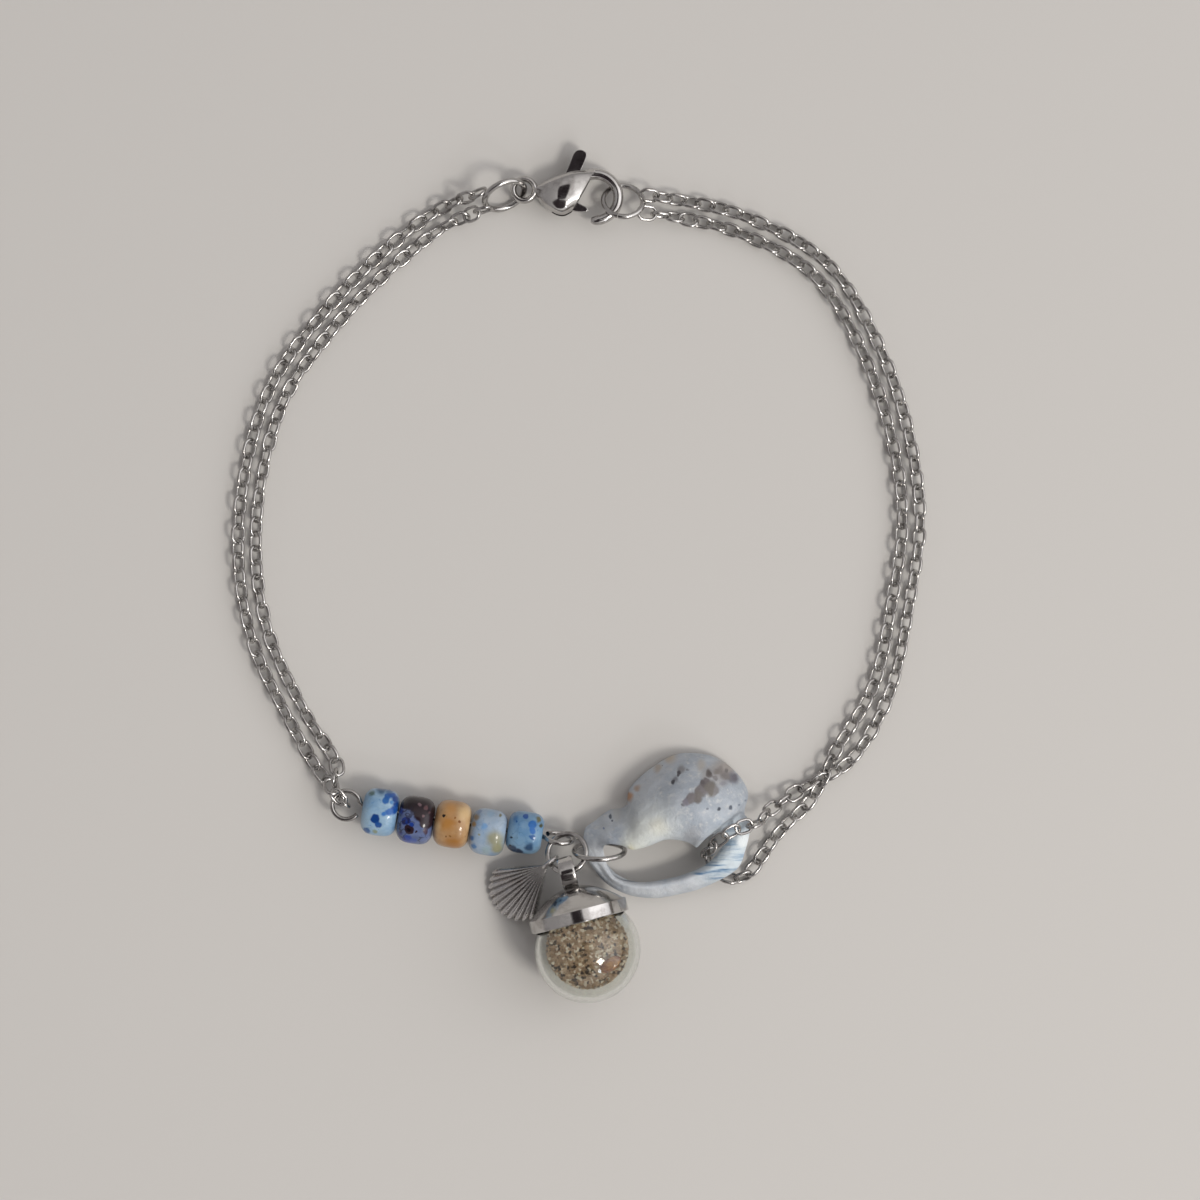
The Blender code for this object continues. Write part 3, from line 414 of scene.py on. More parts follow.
def bake(thing):
    """Apply an object's modifiers to its mesh."""
    graph = bpy.context.evaluated_depsgraph_get()
    made = bpy.data.meshes.new_from_object(thing.evaluated_get(graph))
    thing.modifiers.clear()
    old = thing.data
    thing.data = made
    if isinstance(old, bpy.types.Mesh):
        bpy.data.meshes.remove(old)
    return thing


def carve(base, tool, operation):
    """Join another object to this one, or cut it away, and remove the other."""
    change = base.modifiers.new(tool.name, "BOOLEAN")
    change.operation = operation
    change.object = tool
    change.solver = "EXACT"
    bake(base)
    bpy.data.objects.remove(tool, do_unlink=True)


def skin(shape, ring, following):
    """Faces between two rings of corners."""
    for step in range(len(ring)):
        beside = (step + 1) % len(ring)
        shape.faces.new((ring[step], ring[beside], following[beside], following[step]))


def circle(centre, first, second, radius, steps):
    """Points round a circle, and the spokes out to them."""
    spokes = []
    for step in range(steps):
        angle = 2 * math.pi * step / steps
        spokes.append(first * math.cos(angle) + second * math.sin(angle))
    return [centre + spoke * radius for spoke in spokes], spokes


def sweep(shape, path, widths, half_width, half_height, sides, closed, scales=None):
    """Carry an oval section along a path. widths point along the section's width."""
    count = len(path)
    rings = []
    for index, point in enumerate(path):
        ahead = path[(index + 1) % count] if closed or index < count - 1 else point
        behind = path[index - 1] if closed or index > 0 else point
        along = (ahead - behind).normalized()
        across = widths[index]
        across = (across - across.dot(along) * along).normalized()
        over = along.cross(across)
        size = scales[index] if scales else 1.0
        ring = []
        for step in range(sides):
            angle = 2 * math.pi * step / sides
            offset = across * math.cos(angle) * half_width + over * math.sin(angle) * half_height
            ring.append(shape.verts.new(point + offset * size))
        rings.append(ring)
    for index in range(count if closed else count - 1):
        skin(shape, rings[index], rings[(index + 1) % count])
    if not closed:
        shape.faces.new(list(reversed(rings[0])))
        shape.faces.new(rings[-1])


def revolve(shape, profile, segments, place):
    """Turn a closed profile of (radius, height) about the place's Z. A radius of 0 is a pole."""
    rings = []
    for radius, height in profile:
        steps = 1 if radius == 0.0 else segments
        ring = []
        for step in range(steps):
            angle = 2 * math.pi * step / segments
            spot = Vector((radius * math.cos(angle), radius * math.sin(angle), height))
            ring.append(shape.verts.new(place @ spot))
        rings.append(ring)
    for ring, following in zip(rings, rings[1:] + rings[:1]):
        if len(ring) == len(following) == 1:
            continue
        if len(ring) == len(following):
            skin(shape, ring, following)
            continue
        for step in range(segments):
            beside = (step + 1) % segments
            if len(ring) == 1:
                shape.faces.new((ring[0], following[beside], following[step]))
            else:
                shape.faces.new((ring[step], ring[beside], following[0]))


def prism(shape, outline, half_height, place):
    """A flat plate with the given outline, centred on its own middle plane."""
    low = [shape.verts.new(place @ Vector((x, y, -half_height))) for x, y in outline]
    high = [shape.verts.new(place @ Vector((x, y, half_height))) for x, y in outline]
    shape.faces.new(low)
    shape.faces.new(high)
    skin(shape, low, high)


def smooth_path(points, steps, closed=False):
    """Points along a centripetal Catmull-Rom curve through the given ones."""
    if closed:
        ends = [points[-1]] + list(points) + [points[0], points[1]]
    else:
        ends = [2 * points[0] - points[1]] + list(points) + [2 * points[-1] - points[-2]]
    curve = []
    for p0, p1, p2, p3 in zip(ends, ends[1:], ends[2:], ends[3:]):
        t1 = (p1 - p0).length ** 0.5
        t2 = t1 + (p2 - p1).length ** 0.5
        t3 = t2 + (p3 - p2).length ** 0.5
        for step in range(steps):
            t = t1 + (t2 - t1) * step / steps
            a1 = p0 * (t1 - t) / t1 + p1 * t / t1
            a2 = p1 * (t2 - t) / (t2 - t1) + p2 * (t - t1) / (t2 - t1)
            a3 = p2 * (t3 - t) / (t3 - t2) + p3 * (t - t2) / (t3 - t2)
            b1 = a1 * (t2 - t) / t2 + a2 * t / t2
            b2 = a2 * (t3 - t) / (t3 - t1) + a3 * (t - t1) / (t3 - t1)
            curve.append(b1 * (t2 - t) / (t2 - t1) + b2 * (t - t1) / (t2 - t1))
    if not closed:
        curve.append(points[-1])
    return curve


def superellipse(angle, power):
    """A rounded box's outline as (across, over)."""
    across = math.cos(angle)
    over = math.sin(angle)
    return (math.copysign(abs(across) ** power, across), math.copysign(abs(over) ** power, over))


def smooth_rows(rows, steps, closed):
    """Rows of numbers with smooth rows put between them."""
    if closed:
        ends = [rows[-1]] + list(rows) + [rows[0], rows[1]]
    else:
        ends = [rows[0]] + list(rows) + [rows[-1]]
    made = []
    for r0, r1, r2, r3 in zip(ends, ends[1:], ends[2:], ends[3:]):
        for step in range(steps):
            t = step / steps
            row = []
            for a, b, c, d in zip(r0, r1, r2, r3):
                row.append(0.5 * (2 * b + (c - a) * t + (2 * a - 5 * b + 4 * c - d) * t * t
                                  + (3 * b - a - 3 * c + d) * t ** 3))
            made.append(row)
    if not closed:
        made.append(rows[-1])
    return made


def upright(centre, axis):
    """Place whose own Z is the axis, with its own X kept level."""
    axis = axis.normalized()
    across = UP.cross(axis).normalized()
    turn = Matrix((across, axis.cross(across), axis)).transposed().to_4x4()
    return Matrix.Translation(centre) @ turn


# Places in the layout, the same as in the CAD model

def from_photo(column, line, height=0.0):
    """A layout place from a pixel of the photograph."""
    x = (column - 578.5) / PIXELS_PER_MM * MM
    y = (576.5 - line) / PIXELS_PER_MM * MM
    return Vector((x, y, height))


def clasp_place():
    return Vector((*CLASP_PLACE, CLASP_HALF_THICKNESS))


def clasp_point(share):
    return Vector((share[0] * CLASP_LENGTH, share[1] * CLASP_LENGTH, 0.0))


def clasp_ring_frame():
    """Centre, direction away from the eye and normal of the clasp's ring."""
    away = Vector((-1.0, -0.30, CLASP_RING_RISE)).normalized()
    lean = Vector((0.0, math.cos(CLASP_RING_LEAN), math.sin(CLASP_RING_LEAN)))
    second = (lean - lean.dot(away) * away).normalized()
    return clasp_place() + away * CLASP_RING_RADIUS, away, away.cross(second)


def catch_ring_frame():
    """Centre and normal of the ring in the hook."""
    centre = clasp_place() + clasp_point(HOOK_CENTRE) + Vector((*CATCH_RING_OFFSET, 0.0))
    downhill = Vector((0.12, 0.99, 0.0))
    normal = (UP * math.cos(CATCH_RING_LEAN) + downhill * math.sin(CATCH_RING_LEAN)).normalized()
    return centre, normal


def beads_length():
    return len(BEADS) * (BEAD_LENGTH + BEAD_GAP)


def pin_frame():
    """Left loop's centre, the pin's direction and the right loop's centre."""
    left = Vector((*PIN_PLACE, BEAD_RADIUS))
    along = Vector((math.cos(PIN_ANGLE), math.sin(PIN_ANGLE), 0.0))
    reach = LEFT_LOOP_RADIUS + RIGHT_LOOP_RADIUS + 2 * PIN_NECK + beads_length()
    return left, along, left + along * reach


def bead_centre(index):
    """Centre of a bead on the pin, resting on the surface."""
    left, along, _ = pin_frame()
    size, sag = BEADS[index]
    start = LEFT_LOOP_RADIUS + PIN_NECK + (BEAD_LENGTH + BEAD_GAP) / 2
    centre = left + along * (start + index * (BEAD_LENGTH + BEAD_GAP))
    centre -= UP.cross(along) * sag * BEAD_PLAY
    centre.z = BEAD_RADIUS * size
    return centre


def charm_ring_frame():
    """Centre and normal of the ring that gathers the charms."""
    centre = pin_frame()[2] + Vector(CHARM_RING_OFFSET)
    leaning = Vector((-math.sin(CHARM_RING_YAW), math.cos(CHARM_RING_YAW), 0.0))
    return centre, UP * math.cos(CHARM_RING_LEAN) + leaning * math.sin(CHARM_RING_LEAN)


def charm_seat(turn):
    """Centre of the charm ring's wire where a direction in plan crosses it."""
    centre, normal = charm_ring_frame()
    spoke = Vector((math.cos(turn), math.sin(turn), 0.0))
    spoke.z = -(spoke.x * normal.x + spoke.y * normal.y) / normal.z
    return centre + spoke.normalized() * CHARM_RING_RADIUS


def shell_ring_frame():
    """Centre and normal of the ring through the shell."""
    place = charm_ring_frame()[0]
    centre = Vector((place.x, place.y, SHELL_RING_HEIGHT)) + Vector((*SHELL_RING_OFFSET, 0.0))
    return centre, Vector((0.0, math.sin(SHELL_RING_LEAN), math.cos(SHELL_RING_LEAN)))


def bail_height():
    return CAP_REST + CAP_BAND + CAP_DOME + BAIL_RADIUS


def globe_frame():
    """Centre of the globe and the direction of its neck."""
    seat = charm_seat(BAIL_TURN)
    dip = math.asin((GLOBE_REST - seat.z - BAIL_RISE) / bail_height())
    flat = Vector((math.cos(GLOBE_TURN), math.sin(GLOBE_TURN), 0.0))
    neck = flat * math.cos(dip) - UP * math.sin(dip)
    centre = seat - neck * bail_height()
    return Vector((centre.x, centre.y, GLOBE_REST)), neck


def row_shift():
    """From the layout to the row frame, told by the first bead's CAD node."""
    low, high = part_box("bead_1")
    middle = (Vector(low) + Vector(high)) / 2
    shift = middle - bead_centre(0)
    return Vector((shift.x, shift.y, 0.0))


# Rings

def build_ring(name, centre, normal, radius, wire, cut_turn, finish):
    """A bent wire ring with the fine cut where its ends meet."""
    turn = normal.to_track_quat("Z", "Y")
    steps = 72
    path = []
    spokes = []
    for step in range(steps + 1):
        angle = cut_turn + RING_CUT / 2 + (2 * math.pi - RING_CUT) * step / steps
        spoke = turn @ Vector((math.cos(angle), math.sin(angle), 0.0))
        path.append(centre + spoke * radius)
        spokes.append(spoke)
    shape = bmesh.new()
    sweep(shape, path, spokes, wire / 2, wire / 2, 18, False)
    return add_mesh(name, shape, finish, 50)


# Clasp

def build_clasp_body(finish, shift):
    """Cast body with its eye, hook and slot."""
    place = clasp_place() + shift
    rows = smooth_rows(CLASP_SECTIONS, 7, False)
    shape = bmesh.new()
    rings = []
    sides = 36
    for top_x, top_y, low_x, low_y, thick in rows:
        top = clasp_point((top_x, top_y))
        low = clasp_point((low_x, low_y))
        middle = (top + low) / 2
        half = (top - low) / 2
        lift = UP * min(thick, CLASP_CROWN) * CLASP_HALF_THICKNESS
        ring = []
        for step in range(sides):
            across, over = superellipse(2 * math.pi * step / sides, 0.72)
            ring.append(shape.verts.new(place + middle + half * across + lift * over))
        rings.append(ring)
    for ring, following in zip(rings, rings[1:]):
        skin(shape, ring, following)
    shape.faces.new(rings[0])
    shape.faces.new(rings[-1])
    body = add_mesh("cast_clasp", shape, finish)

    shape = bmesh.new()
    path, outward = circle(place, EAST, NORTH, EYE_HOLE_RADIUS + EYE_WALL / 2, 48)
    sweep(shape, path, outward, EYE_WALL / 2, EYE_HEIGHT / 2, 20, True)
    carve(body, add_mesh("eye_shape", shape, finish), "UNION")

    shape = bmesh.new()
    path = []
    outward = []
    scales = []
    steps = 60
    for step in range(steps + 1):
        share = step / steps
        angle = HOOK_START + (HOOK_END - HOOK_START) * share
        spoke = Vector((math.cos(angle), math.sin(angle), 0.0))
        path.append(place + clasp_point(HOOK_CENTRE) + spoke * HOOK_SWEEP * CLASP_LENGTH)
        outward.append(spoke)
        tip = min(1.0, (1.0 - share) * steps / 5)
        scales.append(1.12 - 0.12 * share if tip == 1.0 else (1 - (1 - tip) ** 2 * 0.75) ** 0.5)
    sweep(shape, path, outward, HOOK_WIDTH / 2, HOOK_HEIGHT / 2, 24, False, scales)
    carve(body, add_mesh("hook_shape", shape, finish), "UNION")

    shape = bmesh.new()
    outline = [clasp_point(share)[:2] for share in SLOT_OUTLINE]
    prism(shape, outline, LEVER_THICKNESS / 2 + SLOT_CLEARANCE, Matrix.Translation(place))
    carve(body, add_mesh("slot_shape", shape, finish), "DIFFERENCE")

    pivot = Matrix.Translation(place + clasp_point(PIVOT))
    shape = bmesh.new()
    depth = LEVER_THICKNESS / 2 + 4 * SLOT_CLEARANCE
    revolve(shape, ((0.0, -depth), (RIVET_RADIUS, -depth), (RIVET_RADIUS, depth), (0.0, depth)), 32,
            pivot)
    carve(body, add_mesh("rivet_shape", shape, finish), "UNION")
    body.data.shade_smooth()
    body.data.set_sharp_from_angle(angle=math.radians(38))
    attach(body, "bracelet")
    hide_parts("clasp_body")


def build_clasp_lever(finish, shift):
    """Thumb tab and gate in one plate with rounded edges."""
    place = Matrix.Translation(clasp_place() + clasp_point(PIVOT) + shift)
    corners = [clasp_point(share) for share in LEVER_OUTLINE]
    outline = [point[:2] for point in smooth_path(corners, 5, True)]
    shape = bmesh.new()
    prism(shape, outline, LEVER_THICKNESS / 2, place)
    lever = add_mesh("thumb_lever", shape, finish)
    shape = bmesh.new()
    radius = RIVET_RADIUS + SLOT_CLEARANCE
    revolve(shape, ((0.0, -LEVER_THICKNESS), (radius, -LEVER_THICKNESS),
                    (radius, LEVER_THICKNESS), (0.0, LEVER_THICKNESS)), 32, place)
    carve(lever, add_mesh("lever_hole_shape", shape, finish), "DIFFERENCE")
    edge = lever.modifiers.new("edge", "BEVEL")
    edge.width = LEVER_EDGE
    edge.segments = 3
    edge.limit_method = "ANGLE"
    edge.angle_limit = math.radians(50)
    edge.harden_normals = True
    bake(lever)
    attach(lever, "clasp_lever")
    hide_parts("clasp_lever")


# Chains

def offset_route(route, height, sideways):
    """A route's places moved sideways in plan and set at a height."""
    flat = [Vector((x, y, height)) for x, y in route]
    moved = []
    for index, point in enumerate(flat):
        along = (flat[min(index + 1, len(flat) - 1)] - flat[max(index - 1, 0)]).normalized()
        moved.append(point + along.cross(UP) * sideways)
    return moved


def link_shape():
    """One link: a bent oval of slightly flattened wire, long way along X."""
    half = (LINK_LENGTH - LINK_WIDTH) / 2
    radius = (LINK_WIDTH - LINK_WIRE) / 2
    path = []
    spokes = []
    for side, start in ((1, -90), (-1, 90)):
        for step in range(10):
            angle = math.radians(start + 180 * step / 9)
            spoke = Vector((math.cos(angle), math.sin(angle), 0.0))
            path.append(Vector((side * half, 0.0, 0.0)) + spoke * radius)
            spokes.append(spoke)
    shape = bmesh.new()
    sweep(shape, path, spokes, LINK_WIRE / 2, LINK_WIRE * 0.56, 8, True)
    return shape


def open_tree(name, given, result):
    """A new geometry node tree with its named inputs."""
    tree = bpy.data.node_groups.new(name, "GeometryNodeTree")
    for label, kind in given:
        tree.interface.new_socket(label, in_out="INPUT", socket_type="NodeSocket" + kind)
    tree.interface.new_socket(result, in_out="OUTPUT", socket_type="NodeSocketGeometry")
    return tree, node(tree, "NodeGroupInput").outputs


def close_tree(tree, shape, finish):
    """Give a tree's geometry its material, and make it the tree's result."""
    coated = node(tree, "GeometryNodeSetMaterial", None, Geometry=shape, Material=finish)
    node(tree, "NodeGroupOutput", None, i0=coated.outputs["Geometry"])


def chain_tree(finish):
    """Geometry nodes: a link at each step of a curve, each turned a quarter from the last."""
    tree, given = open_tree("links on a strand", (
        ("Strand", "Geometry"), ("Link", "Object"), ("Pitch", "Float"), ("First turn", "Float"),
        ("Loose turn", "Float"), ("Seed", "Int")), "Links")
    steps = node(tree, "GeometryNodeResampleCurve", {"mode": "LENGTH"}, Curve=given["Strand"],
                 Length=given["Pitch"])
    points = node(tree, "GeometryNodeCurveToPoints", {"mode": "EVALUATED"},
                  Curve=steps.outputs["Curve"])
    aligned = node(tree, "FunctionNodeAlignRotationToVector", {"axis": "X"},
                   Vector=points.outputs["Tangent"])
    index = node(tree, "GeometryNodeInputIndex").outputs["Index"]
    odd = node(tree, MATH, {"operation": "MODULO"}, i0=index, i1=2.0).outputs[0]
    quarter = node(tree, MATH, TIMES, i0=odd, i1=math.pi / 2).outputs[0]
    loose = node(tree, "FunctionNodeRandomValue", {"data_type": "FLOAT"}, i2=-1.0, i3=1.0,
                 Seed=given["Seed"]).outputs[1]
    slack = node(tree, MATH, TIMES, i0=loose, i1=given["Loose turn"]).outputs[0]
    start = node(tree, MATH, {"operation": "ADD"}, i0=quarter, i1=given["First turn"]).outputs[0]
    turn = node(tree, MATH, {"operation": "ADD"}, i0=start, i1=slack).outputs[0]
    rolled = node(tree, "FunctionNodeAxisAngleToRotation", None, Axis=(1.0, 0.0, 0.0), Angle=turn)
    placed = node(tree, "FunctionNodeRotateRotation", {"rotation_space": "LOCAL"},
                  i0=aligned.outputs["Rotation"], i1=rolled.outputs["Rotation"])
    link = node(tree, "GeometryNodeObjectInfo", {"transform_space": "ORIGINAL"},
                Object=given["Link"])
    laid = node(tree, "GeometryNodeInstanceOnPoints", None, Points=points.outputs["Points"],
                Instance=link.outputs["Geometry"], Rotation=placed.outputs["Rotation"])
    real = node(tree, "GeometryNodeRealizeInstances", None, Geometry=laid.outputs["Instances"])
    close_tree(tree, real.outputs["Geometry"], finish)
    return tree


def run_tree(thing, tree, **values):
    """Evaluate a geometry node tree on an object, and leave its result as the object's mesh."""
    change = thing.modifiers.new(tree.name, "NODES")
    change.node_group = tree
    for item in tree.interface.items_tree:
        if item.in_out == "INPUT" and item.name.replace(" ", "_") in values:
            change[item.identifier] = values[item.name.replace(" ", "_")]
    graph = bpy.context.evaluated_depsgraph_get()
    mesh = bpy.data.meshes.new_from_object(thing.evaluated_get(graph))
    made = bpy.data.objects.new(thing.name + "_made", mesh)
    bpy.context.scene.collection.objects.link(made)
    bpy.data.objects.remove(thing, do_unlink=True)
    return made


def build_chain(name, node_name, points, tree, link, seed, finish, shift):
    """One doubled chain along its chosen points, made of links."""
    path = [point + shift for point in smooth_path(points, 14)]
    for point in path:
        point.z = max(point.z, STRAND_DIAMETER / 2 + STRAND_LIFT)
    curve = bpy.data.curves.new(name, "CURVE")
    curve.dimensions = "3D"
    line = curve.splines.new("POLY")
    line.points.add(len(path) - 1)
    for knot, point in zip(line.points, path):
        knot.co = (*point, 1.0)
    strand = bpy.data.objects.new(name, curve)
    bpy.context.scene.collection.objects.link(strand)
    chain = run_tree(strand, tree, Link=link, Pitch=LINK_PITCH, First_turn=LINK_TURN,
                     Loose_turn=LINK_LOOSE_TURN, Seed=seed)
    chain.name = name
    chain.data.materials.clear()
    chain.data.materials.append(finish)
    chain.data.shade_smooth()
    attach(chain, "bracelet")
    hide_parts(node_name)


def strand_points(ring_centre, seat, route, fold):
    """Both strands of a doubled chain in one line, from the ring round the fold and back."""
    height = STRAND_DIAMETER / 2 + STRAND_LIFT
    out = offset_route(route, height, -STRAND_SPACING / 2)
    back = offset_route(route, height, STRAND_SPACING / 2)
    leave = (out[0] + back[0]) / 2 - ring_centre
    sideways = leave.cross(UP).normalized() * STRAND_SPACING / 2
    return [seat - sideways] + out + fold + list(reversed(back)) + [seat + sideways]


def build_chains(finish, shift):
    """The two doubled chains."""
    tree = chain_tree(finish)
    link = add_mesh("link_shape", link_shape(), finish, 180)
    hold = LINK_LENGTH / 2 - LINK_WIRE

    centre, away, _ = clasp_ring_frame()
    left, _, _ = pin_frame()
    outward = Vector((math.cos(FOLD_TURN), math.sin(FOLD_TURN), 0.0))
    wire = left + outward * LEFT_LOOP_RADIUS
    bend = STRAND_DIAMETER / 2 + PIN_WIRE / 2 + FOLD_GAP
    fold = []
    for step in range(7):
        angle = math.radians(35 + 37 * step)
        fold.append(wire + (outward * math.cos(angle) + UP * math.sin(angle)) * bend)
    seat = centre + away * (CLASP_RING_RADIUS - CLASP_RING_WIRE / 2 + hold)
    points = strand_points(centre, seat, BEAD_SIDE_ROUTE, fold)
    build_chain("bead_side_links", "bead_side_chain", points, tree, link, 3, finish, shift)

    centre, _ = catch_ring_frame()
    leave = (Vector((*SHELL_SIDE_ROUTE[0], centre.z)) - centre).normalized()
    seat = centre + leave * (CATCH_RING_RADIUS - CATCH_RING_WIRE / 2 + hold)
    fold = [Vector(point) for point in SHELL_FOLD]
    points = strand_points(centre, seat, SHELL_SIDE_ROUTE, fold)
    build_chain("shell_side_links", "shell_side_chain", points, tree, link, 8, finish, shift)
    bpy.data.objects.remove(link, do_unlink=True)


# Eye pin and beads

def loop_path(centre, inward, normal, radius):
    """An eye bent from wire: from its free end, round, and out along the pin."""
    across = normal.cross(inward)
    path = []
    steps = 44
    for step in range(steps + 1):
        angle = LOOP_START - LOOP_SWEEP * step / steps
        path.append(centre + (inward * math.cos(angle) + across * math.sin(angle)) * radius)
    path.append(centre + inward * (radius + PIN_WIRE))
    return path


def build_eye_pin(finish, shift):
    """Wire through the beads with a loop at each end."""
    left, along, right = pin_frame()
    tilt = Vector((0.0, math.sin(RIGHT_LOOP_TURN), math.cos(RIGHT_LOOP_TURN)))
    tilt = (tilt - tilt.dot(along) * along).normalized()
    path = loop_path(left, along, UP, LEFT_LOOP_RADIUS)
    path += list(reversed(loop_path(right, -along, tilt, RIGHT_LOOP_RADIUS)))
    half = len(path) // 2
    shape = bmesh.new()
    sweep(shape, [point + shift for point in path], [UP] * half + [tilt] * half,
          PIN_WIRE / 2, PIN_WIRE / 2, 16, False)
    pin = add_mesh("bent_eye_pin", shape, finish, 50)
    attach(pin, "bracelet")
    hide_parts("eye_pin")


def on_bead(index, column, line, shift):
    """The place on a bead's upper face that a pixel of the photograph shows."""
    centre = bead_centre(index)
    _, along, _ = pin_frame()
    radius = BEAD_RADIUS * BEADS[index][0]
    middle = Vector((*VIEW_CENTRE, 0.0))
    column += BEAD_OFFSETS[index][0]
    line += BEAD_OFFSETS[index][1]
    place = from_photo(column, line)
    height = centre.z
    for _ in range(3):
        place = middle + (from_photo(column, line) - middle) * (1 - height / CAMERA_HEIGHT)
        away = (place - centre).dot(UP.cross(along))
        height = centre.z + math.sqrt(max(radius ** 2 - away ** 2, 0.0))
    return Vector((place.x, place.y, height)) + shift


def glaze(name, index, tones, spots, shift, speckle, veined):
    """Fired glaze over clay: cloudy tones, painted spots and fine specks under a clear coat.

    spots holds (pixel column, pixel line, radius in mm, softness, colour).
    """
    made, tree, shader = new_material(name)
    where = node(tree, "ShaderNodeTexCoord").outputs["Object"]
    # Edges wander every 0.8 mm, clouds are 1.9 mm across and the fine tones in them 0.4 mm
    ragged = wobbled(tree, where, 1300.0, 0.00045)
    cloud = node(tree, NOISE, None, Vector=where, Scale=520.0, Detail=5.0, Roughness=0.6).outputs["Fac"]
    fine = node(tree, NOISE, None, Vector=where, Scale=2600.0, Detail=4.0, Roughness=0.6).outputs["Fac"]
    colour = mottled(tree, linear(tones[0]), linear(tones[1]), cloud, 0.34, 0.66)
    colour = mottled(tree, colour, linear(tones[2]), fine, 0.60, 0.74)
    pressed = node(tree, VECTORS, TIMES, i0=ragged, i1=SPOT_DEPTH).outputs[0]
    # The spots are glaze colours, except one pale spot on the third bead, which is a painted highlight
    for column, line, radius, soft, tone in spots:
        place = on_bead(index, column, line, shift) * Vector(SPOT_DEPTH)
        colour = painted(tree, colour, pressed, place, SPOT_SPREAD * radius * MM, soft, tone)
    # The lower half, which the photograph doesn't show, has blots of 2.4 mm in the first spot's colour
    jumbled = wobbled(tree, where, 800.0, 0.001)
    under = node(tree, NOISE, None, Vector=jumbled, Scale=410.0, Detail=3.0, Roughness=0.6).outputs["Fac"]
    height = node(tree, "ShaderNodeSeparateXYZ", None, Vector=where).outputs["Z"]
    blots = node(tree, RANGE, SMOOTH, Value=under, From_Min=0.60, From_Max=0.68).outputs["Result"]
    below = node(tree, RANGE, SMOOTH, Value=height, From_Min=0.0026, From_Max=0.0014).outputs["Result"]
    hidden = node(tree, MATH, TIMES, i0=blots, i1=below).outputs[0]
    colour = node(tree, MIX, COLOURS, i0=hidden, i6=colour, i7=linear(spots[0][4])).outputs[2]
    # Specks in cells of 0.7 mm where the cloud is thick, and thin veins along the middle value of a noise
    cells = node(tree, "ShaderNodeTexVoronoi", None, Vector=ragged, Scale=1500.0).outputs["Distance"]
    dots = node(tree, RANGE, SMOOTH, Value=cells, From_Min=0.16, From_Max=0.07).outputs["Result"]
    thick = node(tree, RANGE, SMOOTH, Value=cloud, From_Min=0.62 - speckle,
                 From_Max=0.66 - speckle).outputs["Result"]
    few = node(tree, MATH, TIMES, i0=dots, i1=thick).outputs[0]
    colour = node(tree, MIX, COLOURS, i0=few, i6=colour, i7=linear(tones[3])).outputs[2]
    bent = wobbled(tree, where, 900.0, 0.0012)
    veins = node(tree, NOISE, None, Vector=bent, Scale=620.0, Detail=2.0, Roughness=0.5).outputs["Fac"]
    signed = node(tree, MATH, {"operation": "SUBTRACT"}, i0=veins, i1=0.5).outputs[0]
    line = node(tree, MATH, {"operation": "ABSOLUTE"}, i0=signed).outputs[0]
    thin = node(tree, RANGE, SMOOTH, Value=line, From_Min=0.022, From_Max=0.006).outputs["Result"]
    drawn = node(tree, MATH, TIMES, i0=thin, i1=veined).outputs[0]
    colour = node(tree, MIX, COLOURS, i0=drawn, i6=colour, i7=linear(tones[3])).outputs[2]
    # The glaze ran a little: waves of 1.1 mm
    uneven = node(tree, NOISE, None, Vector=where, Scale=900.0, Detail=3.0, Roughness=0.55).outputs["Fac"]
    relief = node(tree, "ShaderNodeBump", None, Height=uneven, Distance=0.00005, Strength=1.0)
    fill(tree, shader, Base_Color=colour, Roughness=0.30, Coat_Weight=0.55, Coat_Roughness=0.04,
         Specular_IOR_Level=0.15, Subsurface_Weight=0.12, Subsurface_Radius=(0.0006, 0.0006, 0.0007),
         Normal=relief.outputs["Normal"])
    return made


